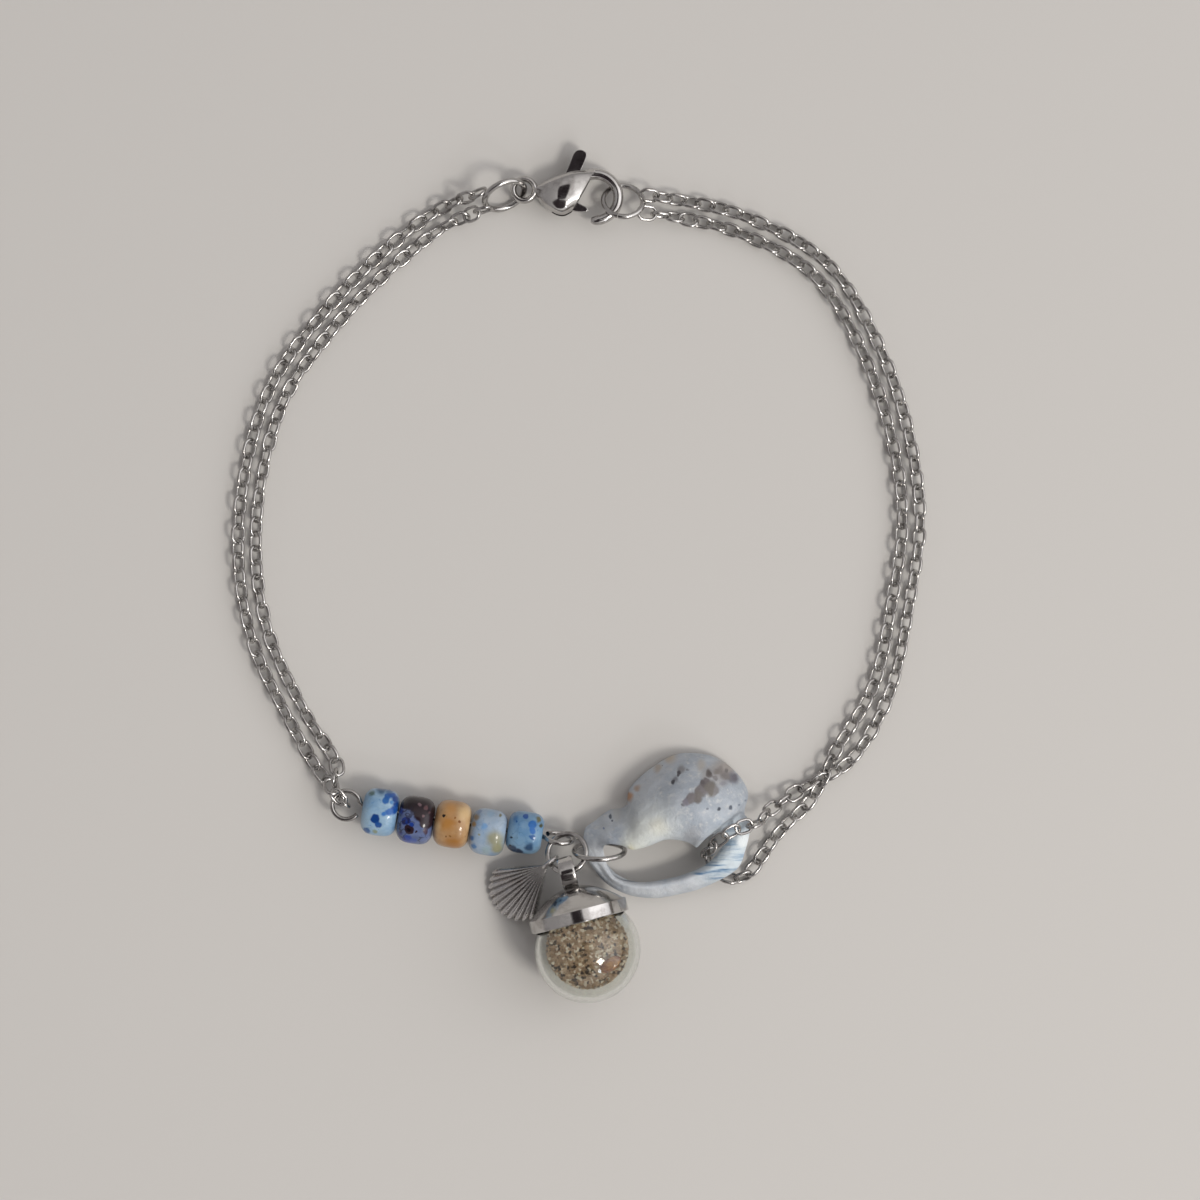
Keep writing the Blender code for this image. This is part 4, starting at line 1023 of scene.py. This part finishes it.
def bead_finishes(shift):
    """A glaze for each bead, with its spots where the photograph shows them."""
    cobalt = "123d7e"
    rows = (
        (("799cbc", "9ab6cb", "5a88b6", "56645c"), 0.0, 0.12, (
            (379.5, 816, 0.42, 0.35, cobalt), (382.5, 822, 0.34, 0.4, "1f4f93"),
            (370.5, 828, 0.40, 0.5, "2a588f"), (390.5, 797.5, 0.34, 0.5, "2b63a6"),
            (392.5, 793.5, 0.34, 0.5, "255aa0"), (397, 792, 0.36, 0.5, "1c4f96"),
            (401, 796, 0.40, 0.45, cobalt), (402.5, 802, 0.44, 0.45, cobalt),
            (399, 807, 0.44, 0.45, "1b4c95"), (393.5, 809.5, 0.38, 0.5, "285fa6"),
            (388.5, 811, 0.26, 0.6, "3a70b2"), (386, 786.5, 0.55, 0.7, "35587a"),
            (394, 787.5, 0.40, 0.7, "3d6590"), (376, 790.5, 0.34, 0.7, "4c6a6c"),
            (379, 828.5, 0.26, 0.7, "82907a"), (396.5, 799.5, 0.22, 0.6, "5586bb"),
        )),
        (("4d5c80", "64729a", "36426f", "1c1524"), 0.09, 0.65, (
            (423, 800, 1.00, 0.2, "1e141a"), (411, 800.5, 0.66, 0.25, "1b1218"),
            (434, 805, 0.95, 0.2, "22161c"), (438, 815, 0.90, 0.22, "21161c"),
            (427, 812, 0.72, 0.25, "271b22"), (432, 822, 0.60, 0.3, "281c25"),
            (431.5, 806.5, 0.24, 0.5, "5d4448"), (425, 804, 0.16, 0.5, "6e5a60"),
            (435, 812, 0.18, 0.5, "5a4247"), (429, 815.5, 0.16, 0.5, "6b5459"),
            (411.5, 820.5, 0.40, 0.3, "162f79"), (417, 824, 0.20, 0.5, "1d3a86"),
            (414.8, 829.5, 0.40, 0.25, "2b1d26"), (414.8, 829.5, 0.15, 0.4, "08060a"),
            (413, 839.5, 0.50, 0.4, "2b4390"), (431, 831, 0.32, 0.5, "4a3b4a"),
            (407, 811, 0.30, 0.5, "39498f"), (419, 840, 0.34, 0.5, "3f5597"),
            (422, 831, 0.10, 0.4, "2a1f2b"), (404.5, 833, 0.30, 0.6, "343f78"),
        )),
        (("a07c56", "b5936b", "8d693b", "4a3520"), 0.04, 0.0, (
            (459, 843, 0.95, 0.8, "9d6d35"), (454, 822, 1.00, 0.9, "a5763f"),
            (457, 807, 0.75, 0.9, "b58752"), (472, 812, 0.95, 0.8, "c8ab80"),
            # The first spot on the next line, the pale one at pixel (476, 826), is a painted highlight:
            # the lamp's glint on the honey glaze
            (476, 826, 0.60, 0.8, "c4a57b"), (441, 826, 0.62, 0.8, "c3a67c"),
            (450, 815.2, 0.14, 0.4, "1f1811"), (451.6, 814.8, 0.08, 0.4, "1f1811"),
            (465.6, 821.4, 0.12, 0.5, "754718"), (461.5, 816.8, 0.12, 0.5, "845624"),
            (452, 836.2, 0.10, 0.5, "704a1e"), (456, 835.6, 0.09, 0.5, "7c5526"),
            (464, 797.5, 0.40, 0.8, "8f6230"),
        )),
        (("8099b5", "9aabbd", "6b8bb0", "5d5b50"), 0.03, 0.1, (
            (501, 841, 0.95, 0.7, "8f907c"), (504, 850, 0.75, 0.7, "8d8d72"),
            (482.5, 818, 0.40, 0.6, "7f7364"), (479.5, 825, 0.28, 0.6, "8f7b5c"),
            (476.5, 840, 0.34, 0.5, "3f6ca3"), (479.5, 848, 0.30, 0.5, "4d79ab"),
            (506.5, 816, 0.20, 0.5, "6c6b56"), (485, 812, 0.34, 0.6, "6c83a5"),
            (490, 828, 0.34, 0.7, "6f97c2"), (497, 814, 0.42, 0.7, "8ba5bd"),
            (492, 852, 0.50, 0.7, "93a7b0"), (486, 836, 0.12, 0.5, "8c8f7c"),
        )),
        (("5d84a9", "7899b4", "44729f", "2b3036"), 0.06, 0.15, (
            (540.5, 825, 0.36, 0.3, "2c66aa"), (540.5, 831, 0.30, 0.35, "3069ad"),
            (533.8, 817, 0.24, 0.4, "214f92"), (547, 820, 0.32, 0.5, "606148"),
            (549.5, 826, 0.24, 0.5, "484c38"), (519.5, 850, 0.50, 0.5, "243a55"),
            (527, 853, 0.42, 0.5, "202f47"), (519.5, 838.2, 0.14, 0.4, "22282e"),
            (540.5, 837.5, 0.26, 0.4, "23558f"), (523, 819, 0.38, 0.7, "416f9f"),
            (537, 848, 0.44, 0.6, "2a4a6d"), (525, 822, 0.12, 0.5, "22558f"),
            (517, 846, 0.16, 0.5, "1f2a38"),
        )),
    )
    made = []
    for index, (tones, speckle, veined, spots) in enumerate(rows):
        name = f"bead {index + 1} glaze"
        made.append(glaze(name, index, tones, spots, shift, speckle, veined))
    return made


def build_beads(shift):
    """Five hand-rolled beads, each a little out of round."""
    _, along, _ = pin_frame()
    chance = random.Random(41)
    for index, finish in enumerate(bead_finishes(shift)):
        radius = BEAD_RADIUS * BEADS[index][0] * BEAD_FIT
        half = BEAD_LENGTH / 2 * BEAD_FIT
        profile = []
        steps = 30
        for step in range(steps + 1):
            angle = math.pi * (0.14 + 0.72 * step / steps)
            across, over = superellipse(angle, 0.62)
            profile.append((radius * over, half * across / 0.93 if abs(across) < 0.93
                            else math.copysign(half, across)))
        end = profile[0][0]
        profile += [(end * 0.8, -half * 1.0), (BEAD_HOLE_RADIUS * 1.25, -half * 0.99),
                    (BEAD_HOLE_RADIUS, -half * 0.93), (BEAD_HOLE_RADIUS, half * 0.93),
                    (BEAD_HOLE_RADIUS * 1.25, half * 0.99), (end * 0.8, half * 1.0)]
        shape = bmesh.new()
        place = upright(bead_centre(index) + shift, along)
        revolve(shape, profile, 56, place)
        middle = place.translation
        lobes = [(chance.uniform(0, 6.28), chance.uniform(0.004, 0.012)) for _ in range(4)]
        for vertex in shape.verts:
            local = place.inverted() @ vertex.co
            turn = math.atan2(local.y, local.x)
            swell = 1.0
            for order, (start, size) in enumerate(lobes):
                swell -= size * (0.5 + 0.5 * math.sin((order + 1) * turn + start + local.z * 900))
            radial = Vector((local.x * swell, local.y * swell, local.z))
            vertex.co = place @ radial
        bead = add_mesh(f"glazed_bead_{index + 1}", shape, finish, 60)
        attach(bead, "bracelet")
        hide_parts(f"bead_{index + 1}")


# Fan charm

def fan_frame():
    """Loop's centre, fan direction, across and normal of the charm, which leans on the table."""
    seat = charm_seat(FAN_SEAT_TURN)
    drop = seat.z - FAN_THICKNESS / 2 - FAN_LIFT
    slope = math.asin(min(0.9, drop / (FAN_LOOP_RADIUS + FAN_LENGTH)))
    flat = Vector((math.cos(FAN_DIRECTION), math.sin(FAN_DIRECTION), 0.0))
    forward = flat * math.cos(slope) - UP * math.sin(slope)
    across = flat.cross(UP)
    over = across.cross(forward)
    rolled = Matrix.Rotation(FAN_ROLL, 3, forward)
    return seat, forward, rolled @ across, rolled @ over


def build_scallop(finish, shift):
    """Ribbed fan with rounded ribs that spread from its apex, and its loop."""
    seat, forward, across, over = fan_frame()
    seat = seat + shift
    apex = FAN_LOOP_RADIUS * 0.9
    steps = FAN_RIBS * 8
    rows = 14
    shape = bmesh.new()
    columns = []
    for step in range(steps + 1):
        turn = 2 * step / steps - 1
        angle = FAN_SPREAD * turn
        rib = abs(math.sin(math.pi * FAN_RIBS * step / steps))
        edge = FAN_LENGTH * math.cos(angle) ** 1.6 * (0.965 + 0.03 * rib)
        column = []
        for row in range(rows + 1):
            share = row / rows
            rise = math.sin(math.pi * min(1.0, 0.12 + 0.75 * share)) ** 0.8
            out = apex + edge * share * math.cos(angle)
            side = (edge * share + FAN_LOOP_WIRE) * math.sin(angle)
            crown = FAN_THICKNESS * (0.46 + 0.36 * rise)
            relief = FAN_RIB * (rib ** 0.7 - 0.25) * min(1.0, share * 2.2)
            lip = FAN_THICKNESS * 0.18 * max(0.0, share * 12 - 11)
            point = seat + forward * out + across * side
            high = point + over * (crown + relief - lip - FAN_THICKNESS / 2)
            low = point - over * (FAN_THICKNESS / 2 - lip)
            column.append((shape.verts.new(high), shape.verts.new(low)))
        columns.append(column)
    for column, following in zip(columns, columns[1:]):
        for row in range(rows):
            shape.faces.new((column[row][0], column[row + 1][0],
                             following[row + 1][0], following[row][0]))
            shape.faces.new((column[row][1], following[row][1],
                             following[row + 1][1], column[row + 1][1]))
        shape.faces.new((column[0][0], following[0][0], following[0][1], column[0][1]))
        shape.faces.new((column[-1][0], column[-1][1], following[-1][1], following[-1][0]))
    for column in (columns[0], columns[-1]):
        for row in range(rows):
            shape.faces.new((column[row][0], column[row][1],
                             column[row + 1][1], column[row + 1][0]))
    fan = add_mesh("ribbed_fan", shape, finish, 50)

    shape = bmesh.new()
    path, spokes = circle(seat, forward, over, FAN_LOOP_RADIUS, 48)
    sweep(shape, path, spokes, FAN_LOOP_WIRE / 2, FAN_LOOP_WIRE / 2, 16, True)
    carve(fan, add_mesh("fan_loop_shape", shape, finish), "UNION")
    fan.data.shade_smooth()
    fan.data.set_sharp_from_angle(angle=math.radians(50))
    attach(fan, "bracelet")
    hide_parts("scallop_charm")


# Globe, cap, sand and chip

def clear_glass():
    """Blown soda glass: clear, with sharp reflections and a bent view of the sand."""
    made, tree, shader = new_material("clear globe glass")
    fill(tree, shader, Base_Color=linear("f0f2ee"), Roughness=0.015, IOR=1.46, Transmission_Weight=1.0)
    return made


def sand_finish(name, tones):
    """Mixed grains: each a few tenths of a millimetre, tan, brown, cream and dark."""
    made, tree, shader = new_material(name)
    where = node(tree, "ShaderNodeTexCoord").outputs["Object"]
    # Cells of 0.24 mm, the width of a coarse grain
    cells = node(tree, "ShaderNodeTexVoronoi", None, Vector=where, Scale=4200.0)
    parts = node(tree, "ShaderNodeSeparateColor", None, Color=cells.outputs["Color"]).outputs
    colour = mottled(tree, linear(tones[0]), linear(tones[1]), parts["Red"], 0.25, 0.75)
    colour = mottled(tree, colour, linear(tones[2]), parts["Green"], 0.74, 0.80)
    colour = mottled(tree, colour, linear(tones[3]), parts["Blue"], 0.80, 0.86)
    fill(tree, shader, Base_Color=colour, Roughness=0.55)
    return made


def chip_finish():
    """Polished shell in amber bands, as glossy as a wet stone."""
    made, tree, shader = new_material("amber chip")
    where = node(tree, "ShaderNodeTexCoord").outputs["Object"]
    # Bands of 0.7 mm
    bands = node(tree, NOISE, None, Vector=where, Scale=1500.0, Detail=3.0, Roughness=0.6).outputs["Fac"]
    tone = mottled(tree, linear("7e4316"), linear("bd8b57"), bands, 0.35, 0.65)
    fill(tree, shader, Base_Color=tone, Roughness=0.12, Coat_Weight=1.0)
    return made


def grain_tree(finish):
    """Geometry nodes: grains scattered over a surface, each its own size and turn."""
    tree, given = open_tree("grains on sand", (
        ("Bed", "Geometry"), ("Density", "Float"), ("Grain radius", "Float"), ("Seed", "Int")), "Sand")
    spots = node(tree, "GeometryNodeDistributePointsOnFaces", None, Mesh=given["Bed"],
                 Density=given["Density"], Seed=given["Seed"])
    grain = node(tree, "GeometryNodeMeshIcoSphere", None, Radius=given["Grain radius"],
                 Subdivisions=1)
    vectors = {"data_type": "FLOAT_VECTOR"}
    turn = node(tree, "FunctionNodeRandomValue", vectors, i0=(0.0, 0.0, 0.0), i1=(6.28, 6.28, 6.28),
                Seed=given["Seed"])
    size = node(tree, "FunctionNodeRandomValue", vectors, i0=(0.55, 0.5, 0.45), i1=(1.35, 1.15, 1.0),
                Seed=given["Seed"])
    laid = node(tree, "GeometryNodeInstanceOnPoints", None, Points=spots.outputs["Points"],
                Instance=grain.outputs["Mesh"], Rotation=turn.outputs[0], Scale=size.outputs[0])
    real = node(tree, "GeometryNodeRealizeInstances", None, Geometry=laid.outputs["Instances"])
    both = node(tree, "GeometryNodeJoinGeometry", None, Geometry=real.outputs["Geometry"])
    fill(tree, both, Geometry=given["Bed"])
    close_tree(tree, both.outputs["Geometry"], finish)
    return tree


def build_globe(finish, shift):
    """Blown globe, its cap with the bail, the sand and the chip on it."""
    centre, neck = globe_frame()
    centre = centre + shift
    place = upright(centre, neck)
    inner = GLOBE_RADIUS - GLASS_WALL
    lip = CAP_REST + CAP_BAND / 2
    shape = bmesh.new()
    profile = []
    steps = 40
    for radius, order in ((GLOBE_RADIUS, range(steps + 1)), (inner, range(steps, -1, -1))):
        start = math.acos(lip / radius)
        for step in order:
            angle = start + (math.pi - start) * step / steps
            ring = 0.0 if step == steps else radius * math.sin(angle)
            profile.append((ring, radius * math.cos(angle)))
    revolve(shape, profile, 96, place)
    glass = add_mesh("blown_globe", shape, clear_glass(), 60)
    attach(glass, "bracelet")
    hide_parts("globe_glass")

    wall = CAP_WALL
    edge = CAP_EDGE
    shoulder = CAP_REST + CAP_BAND
    outer = [(CAP_RIM - edge, CAP_REST), (CAP_RIM, CAP_REST + edge), (CAP_RIM, shoulder - edge),
             (CAP_RIM - edge * 1.6, shoulder + edge * 0.4)]
    dome = 26
    for step in range(dome):
        share = step / dome
        reach = (1 - share) ** 0.8
        rise = 1 - (1 - share) ** 1.55
        outer.append(((CAP_RIM - CAP_STEP) * reach, shoulder + CAP_DOME * rise))
    outer.append((0.0, shoulder + CAP_DOME))
    inside = [(0.0, shoulder + CAP_DOME - 2 * wall)]
    for radius, height in reversed(outer[4:-1]):
        if radius > 2.5 * wall:
            inside.append((radius - 1.3 * wall, height - 1.1 * wall))
    inside.append((CAP_RIM - wall, shoulder - wall))
    inside.append((CAP_RIM - wall, CAP_REST))
    shape = bmesh.new()
    revolve(shape, outer + inside, 96, place)
    cap = add_mesh("domed_cap", shape, finish, 32)
    shape = bmesh.new()
    path = []
    spokes = []
    for step in range(56):
        angle = 2 * math.pi * step / 56
        spoke = place.to_3x3() @ Vector((0.0, math.cos(angle), math.sin(angle)))
        path.append(place @ Vector((0.0, 0.0, bail_height())) + spoke * BAIL_RADIUS)
        spokes.append(spoke)
    rows = []
    level = place.to_3x3() @ Vector((1.0, 0.0, 0.0))
    outline = []
    for step in range(28):
        across, over = superellipse(2 * math.pi * step / 28, 0.45)
        outline.append((across * BAIL_WIDTH / 2, over * BAIL_WALL / 2))
    for point, spoke in zip(path, spokes):
        rows.append([shape.verts.new(point + level * x + spoke * y) for x, y in outline])
    for row, following in zip(rows, rows[1:] + rows[:1]):
        skin(shape, row, following)
    carve(cap, add_mesh("bail_shape", shape, finish), "UNION")
    cap.data.shade_smooth()
    cap.data.set_sharp_from_angle(angle=math.radians(32))
    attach(cap, "bracelet")
    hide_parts("globe_cap")

    shape = bmesh.new()
    radius = inner - SAND_GAP
    chance = random.Random(17)
    profile = [(0.0, -radius)]
    level = math.acos(-SAND_LEVEL / radius)
    for step in range(1, 19):
        angle = math.pi + (level - math.pi) * step / 18
        profile.append((radius * math.sin(angle), radius * math.cos(angle)))
    for step in range(1, 12):
        share = 1 - step / 12
        profile.append((radius * 0.96 * share, -SAND_LEVEL + SAND_HEAP * (1 - share ** 3)))
    profile.append((0.0, -SAND_LEVEL + SAND_HEAP))
    revolve(shape, profile, 48, Matrix.Translation(centre))
    for vertex in shape.verts:
        if vertex.co.z > centre.z - SAND_LEVEL - 0.2 * MM:
            vertex.co.z += chance.uniform(-0.07, 0.07) * MM
    grains = sand_finish("mixed grains", ("cbb195", "ab8f73", "ede2cf", "5b4e46"))
    bed = add_mesh("sand_bed", shape, grains)
    sand = run_tree(bed, grain_tree(grains), Density=GRAINS, Grain_radius=GRAIN_RADIUS, Seed=5)
    sand.name = "grains_of_sand"
    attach(sand, "bracelet")
    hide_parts("sand_fill")

    shape = bmesh.new()
    bmesh.ops.create_icosphere(shape, subdivisions=3, radius=1.0)
    for vertex in shape.verts:
        bend = 0.5 * vertex.co.x ** 2
        vertex.co = Vector((vertex.co.x * CHIP_SIZE[0], vertex.co.y * CHIP_SIZE[1],
                            (vertex.co.z - bend) * CHIP_SIZE[2]))
    lift = -SAND_LEVEL + 0.6 * MM + CHIP_SIZE[2]
    spot = Matrix.Translation(centre + Vector((*CHIP_PLACE, lift)))
    bmesh.ops.transform(shape, matrix=spot @ Matrix.Rotation(math.radians(35), 4, "Z"),
                        verts=shape.verts)
    chip = add_mesh("amber_chip", shape, chip_finish(), 60)
    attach(chip, "bracelet")
    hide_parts("shell_chip")


# Shell

def shell_finish(shift):
    """Sea-worn shell, matt and a little clear: grey-blue and cream, dark dashes, tan and blue stains, and
    painted shade along the opening's lower edge.
    """
    made, tree, shader = new_material("worn shell")
    where = node(tree, "ShaderNodeTexCoord").outputs["Object"]
    flat = node(tree, VECTORS, TIMES, i0=where, i1=(1.0, 1.0, 0.0)).outputs[0]
    # Edges wander every 1.0 mm on the dashes, 2.4 mm on the stains and 1.6 mm on the torn marks.
    # Clouds are 3.3 mm across, and the fine tones in them 0.5 mm
    ragged = wobbled(tree, flat, 1000.0, 0.0006)
    soft = wobbled(tree, flat, 420.0, 0.0014)
    torn = wobbled(tree, ragged, 620.0, 0.0012)
    cloud = node(tree, NOISE, None, Vector=where, Scale=300.0, Detail=5.0, Roughness=0.62).outputs["Fac"]
    fine = node(tree, NOISE, None, Vector=where, Scale=1900.0, Detail=5.0, Roughness=0.65).outputs["Fac"]
    colour = mottled(tree, linear("a0a9b4"), linear("bbc2ca"), cloud, 0.36, 0.64)
    colour = mottled(tree, colour, linear("c3c6c8"), fine, 0.50, 0.72)
    # Stains, torn marks and dashes laid over the tones; among the stains is the painted shade by the
    # opening's lower edge
    for edges, spread, marks in ((soft, 1.0, RIB_BLOOM + SHELL_STAINS_AND_SHADE), (torn, 1.15, SHELL_MARKS),
                                 (ragged, 1.0, SHELL_DASHES)):
        for column, line, radius, softness, tone in marks:
            place = from_photo(column, line) + shift
            colour = painted(tree, colour, edges, place, spread * radius * MM, softness, tone)
    # Streaks on the lower rib, 3.8 mm long and 0.5 mm wide
    streaked = node(tree, "ShaderNodeMapping", None, Vector=flat, Rotation=(0.0, 0.0, math.radians(-38)),
                    Scale=(260.0, 2100.0, 1.0)).outputs["Vector"]
    streak = node(tree, NOISE, None, Vector=streaked, Scale=1.0, Detail=3.0, Roughness=0.6).outputs["Fac"]
    rib = patch(tree, soft, from_photo(729, 856) + shift, 4.3 * MM, 0.75)
    most = node(tree, MATH, TIMES, i0=rib, i1=0.9).outputs[0]
    tinted = mottled(tree, linear("ccd8df"), linear("8fa9c0"), streak, 0.45, 0.60)
    colour = node(tree, MIX, COLOURS, i0=most, i6=colour, i7=tinted).outputs[2]
    lines = node(tree, RANGE, SMOOTH, Value=streak, From_Min=0.57, From_Max=0.64).outputs["Result"]
    grooved = patch(tree, soft, from_photo(716, 872) + shift, 2.5 * MM, 0.4)
    groove = node(tree, MATH, TIMES, i0=lines, i1=grooved).outputs[0]
    colour = node(tree, MIX, COLOURS, i0=groove, i6=colour, i7=linear("55799d")).outputs[2]
    colour = painted(tree, colour, soft, from_photo(742, 838) + shift, 0.8 * MM, 0.6, "e2e9ec")
    # Pits and cracks of 0.8 mm, finer ones within them
    split = wobbled(tree, where, 700.0, 0.001)
    cracks = node(tree, NOISE, None, Vector=split, Scale=1300.0, Detail=6.0, Roughness=0.7).outputs["Fac"]
    relief = node(tree, "ShaderNodeBump", None, Height=cracks, Distance=0.00016, Strength=1.0)
    fill(tree, shader, Base_Color=colour, Roughness=0.52, Subsurface_Weight=0.15,
         Subsurface_Radius=(0.0009, 0.0009, 0.0010), Normal=relief.outputs["Normal"])
    return made


def shell_relief(turn, share, whole):
    """Growth cords and the transverse riblets of the lower rib, in mm."""
    body = 1.0 if 2.5 < turn < 10.0 else 0.0
    fade = math.sin(math.pi * min(1.0, max(0.0, (turn - 2.5) / 7.5))) if body else 0.0
    cords = 0.055 * math.sin(share * 34.0 + 0.35 * turn) * fade
    warp = 0.10 * math.sin(turn * 1.9 + share * 5.0) * fade
    rib = 1.0 if 12.5 < turn < whole - 1.5 else 0.0
    riblets = 0.035 * math.sin(turn * 22.0) * (1.0 - share) * rib
    keel = 0.09 * math.sin(share * 9.5 + 0.6) * rib
    relief = (cords + warp + riblets + keel) * math.sin(math.pi * share) ** 0.5
    return relief - whorl_step(turn, share)


def whorl_step(turn, share):
    """How far the outer margin lies below the next whorl's edge, in mm."""
    for (start, near), (end, far) in zip(WHORL_EDGE, WHORL_EDGE[1:]):
        if start <= turn < end:
            line = near + (far - near) * (turn - start) / (end - start)
            below = min(1.0, max(0.0, (line - share) / 0.07))
            return 0.30 * below * below * (3 - 2 * below)
    return 0.0


def build_shell(shift):
    """Curved wall of the worn shell: smooth sections round its long opening."""
    ring_centre, _ = shell_ring_frame()
    corner = Vector((ring_centre.x + SHELL_FROM_RING[0], ring_centre.y + SHELL_FROM_RING[1], 0.0))
    corner += shift
    steps = SHELL_STEPS
    columns = SHELL_COLUMNS
    whole = len(SHELL_SECTIONS)
    rows = []
    for index, values in enumerate(smooth_rows(SHELL_SECTIONS, steps, True)):
        out_x, out_y, in_x, in_y, out_z, in_z, crown = values
        outer = Vector((out_x * SHELL_LENGTH, out_y * SHELL_WIDTH, out_z * SHELL_HEIGHT))
        inner = Vector((in_x * SHELL_LENGTH, in_y * SHELL_WIDTH, in_z * SHELL_HEIGHT))
        row = []
        for step in range(columns):
            share = 0.5 - 0.5 * math.cos(math.pi * step / (columns - 1))
            point = outer.lerp(inner, share)
            point.z += crown * SHELL_HEIGHT * math.sin(math.pi * share) ** 0.6
            point.z += shell_relief(index / steps, share, whole) * MM
            row.append(point)
        rows.append(row)
    count = len(rows)
    shape = bmesh.new()
    outside = []
    inside = []
    for index, row in enumerate(rows):
        outside.append([shape.verts.new(corner + point) for point in row])
        under = []
        for step, point in enumerate(row):
            ahead = rows[(index + 3) % count][step] - rows[index - 3][step]
            across = row[min(step + 1, columns - 1)] - row[max(step - 1, 0)]
            normal = across.cross(ahead).normalized()
            share = step / (columns - 1)
            wall = SHELL_WALL * (0.55 + 0.35 * math.sin(math.pi * share))
            low = point + normal * wall * (1 if normal.z < 0 else -1)
            low.z = max(low.z, SHELL_FOOT)
            under.append(shape.verts.new(corner + low))
        inside.append(under)
    for index in range(count):
        beside = (index + 1) % count
        for step in range(columns - 1):
            shape.faces.new((outside[index][step], outside[beside][step],
                             outside[beside][step + 1], outside[index][step + 1]))
            shape.faces.new((inside[index][step], inside[index][step + 1],
                             inside[beside][step + 1], inside[beside][step]))
        for step in (0, columns - 1):
            shape.faces.new((outside[index][step], inside[index][step],
                             inside[beside][step], outside[beside][step]))
    shell = add_mesh("worn_shell", shape, shell_finish(shift), 75)
    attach(shell, "bracelet")
    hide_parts("shell_fragment")


# Camera, lights and floor

def build_studio(shift):
    """The photograph's view from straight above, soft daylight and a pale floor."""
    scene = bpy.context.scene
    width = IMAGE_SIZE / PIXELS_PER_MM * MM
    camera = bpy.data.cameras.new("camera")
    camera.sensor_fit = "HORIZONTAL"
    camera.angle = 2 * math.atan(width / 2 / CAMERA_HEIGHT)
    camera.clip_start = 0.01
    viewer = bpy.data.objects.new("camera", camera)
    viewer.location = Vector((*VIEW_CENTRE, CAMERA_HEIGHT)) + shift
    scene.collection.objects.link(viewer)
    scene.camera = viewer

    floor_mesh = bpy.data.meshes.new("floor")
    half = FLOOR_HALF
    floor_mesh.from_pydata([(-half, -half, 0), (half, -half, 0), (half, half, 0), (-half, half, 0)],
                           [], [(0, 1, 2, 3)])
    floor = bpy.data.objects.new("floor", floor_mesh)
    floor.location.z = -FLOOR_DROP
    made, _, shader = new_material("pale floor")
    fill(made.node_tree, shader, Base_Color=linear("c8c6c3"), Roughness=0.9)
    floor_mesh.materials.append(made)
    scene.collection.objects.link(floor)

    # name, direction, distance, size, power, colour
    lamps = (
        ("window", (0.463, -0.379, 0.80), 0.70, 0.15, 1.9, "fffaf2"),
        ("second window", (0.40, -0.68, 0.62), 0.70, 0.06, 0.20, "f4f7ff"),
        ("side daylight", (0.80, 0.05, 0.60), 0.80, 0.80, 1.5, "fbfbff"),
    )
    for name, aim, distance, size, power, colour in lamps:
        lamp = bpy.data.lights.new(name, "AREA")
        lamp.shape = "SQUARE"
        lamp.size = size
        lamp.energy = power
        lamp.color = linear(colour)[:3]
        light = bpy.data.objects.new(name, lamp)
        towards = Vector(aim).normalized()
        light.location = towards * distance
        light.rotation_euler = (-towards).to_track_quat("-Z", "Y").to_euler()
        scene.collection.objects.link(light)
    world = bpy.data.worlds.new("soft room")
    world.use_nodes = True
    tree = world.node_tree
    back = tree.nodes["Background"]
    where = node(tree, "ShaderNodeTexCoord").outputs["Generated"]
    height = node(tree, "ShaderNodeSeparateXYZ", None, Vector=where).outputs["Z"]
    sky = mottled(tree, linear("57504b"), linear("e6e3e1"), height, 0.05, 0.55)
    brighter = node(tree, VECTORS, {"operation": "DOT_PRODUCT"}, i0=where,
                    i1=(0.86, -0.38, 0.35)).outputs["Value"]
    sky = mottled(tree, linear("8d8a8a"), sky, brighter, -0.5, 0.8)
    # Two dark areas of the room, overhead and to one side, which the polished steel mirrors
    sky = painted(tree, sky, where, (-0.07, 0.14, 0.98), 0.27, 0.15, "241e21")
    sky = painted(tree, sky, where, (-0.24, -0.52, 0.82), 0.52, 0.12, "2e272a")
    fill(tree, back, Color=sky, Strength=1.35)
    scene.world = world
    scene.view_settings.view_transform = "Standard"


def main():
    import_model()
    shift = row_shift()
    polished = steel("polished stainless steel", "c4c2c0", 0.14, 0.000002, "9a9694")
    wire = steel("drawn steel wire", "b9b7b5", 0.20, 0.000003, "8c8886")
    brushed = steel("worn stainless steel", "cbc9c8", 0.28, 0.0000006, "c0bdbb")
    build_clasp_body(polished, shift)
    build_clasp_lever(polished, shift)
    centre, _, normal = clasp_ring_frame()
    catch, catch_normal = catch_ring_frame()
    charm, charm_normal = charm_ring_frame()
    held, held_normal = shell_ring_frame()
    # piece, CAD node, centre, normal, radius, wire, turn of its cut in degrees
    rings = (
        ("bent_clasp_ring", "clasp_ring", centre, normal, CLASP_RING_RADIUS, CLASP_RING_WIRE, 250),
        ("bent_catch_ring", "catch_ring", catch, catch_normal, CATCH_RING_RADIUS, CATCH_RING_WIRE, 80),
        ("bent_charm_ring", "charm_ring", charm, charm_normal, CHARM_RING_RADIUS, CHARM_RING_WIRE, 20),
        ("bent_shell_ring", "shell_ring", held, held_normal, SHELL_RING_RADIUS, SHELL_RING_WIRE, 200),
    )
    for name, replaced, middle, facing, radius, thick, cut in rings:
        ring = build_ring(name, middle + shift, facing, radius, thick, math.radians(cut), wire)
        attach(ring, "bracelet")
        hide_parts(replaced)
    build_chains(wire, shift)
    build_eye_pin(wire, shift)
    build_beads(shift)
    build_scallop(brushed, shift)
    build_globe(polished, shift)
    build_shell(shift)
    build_studio(shift)


main()
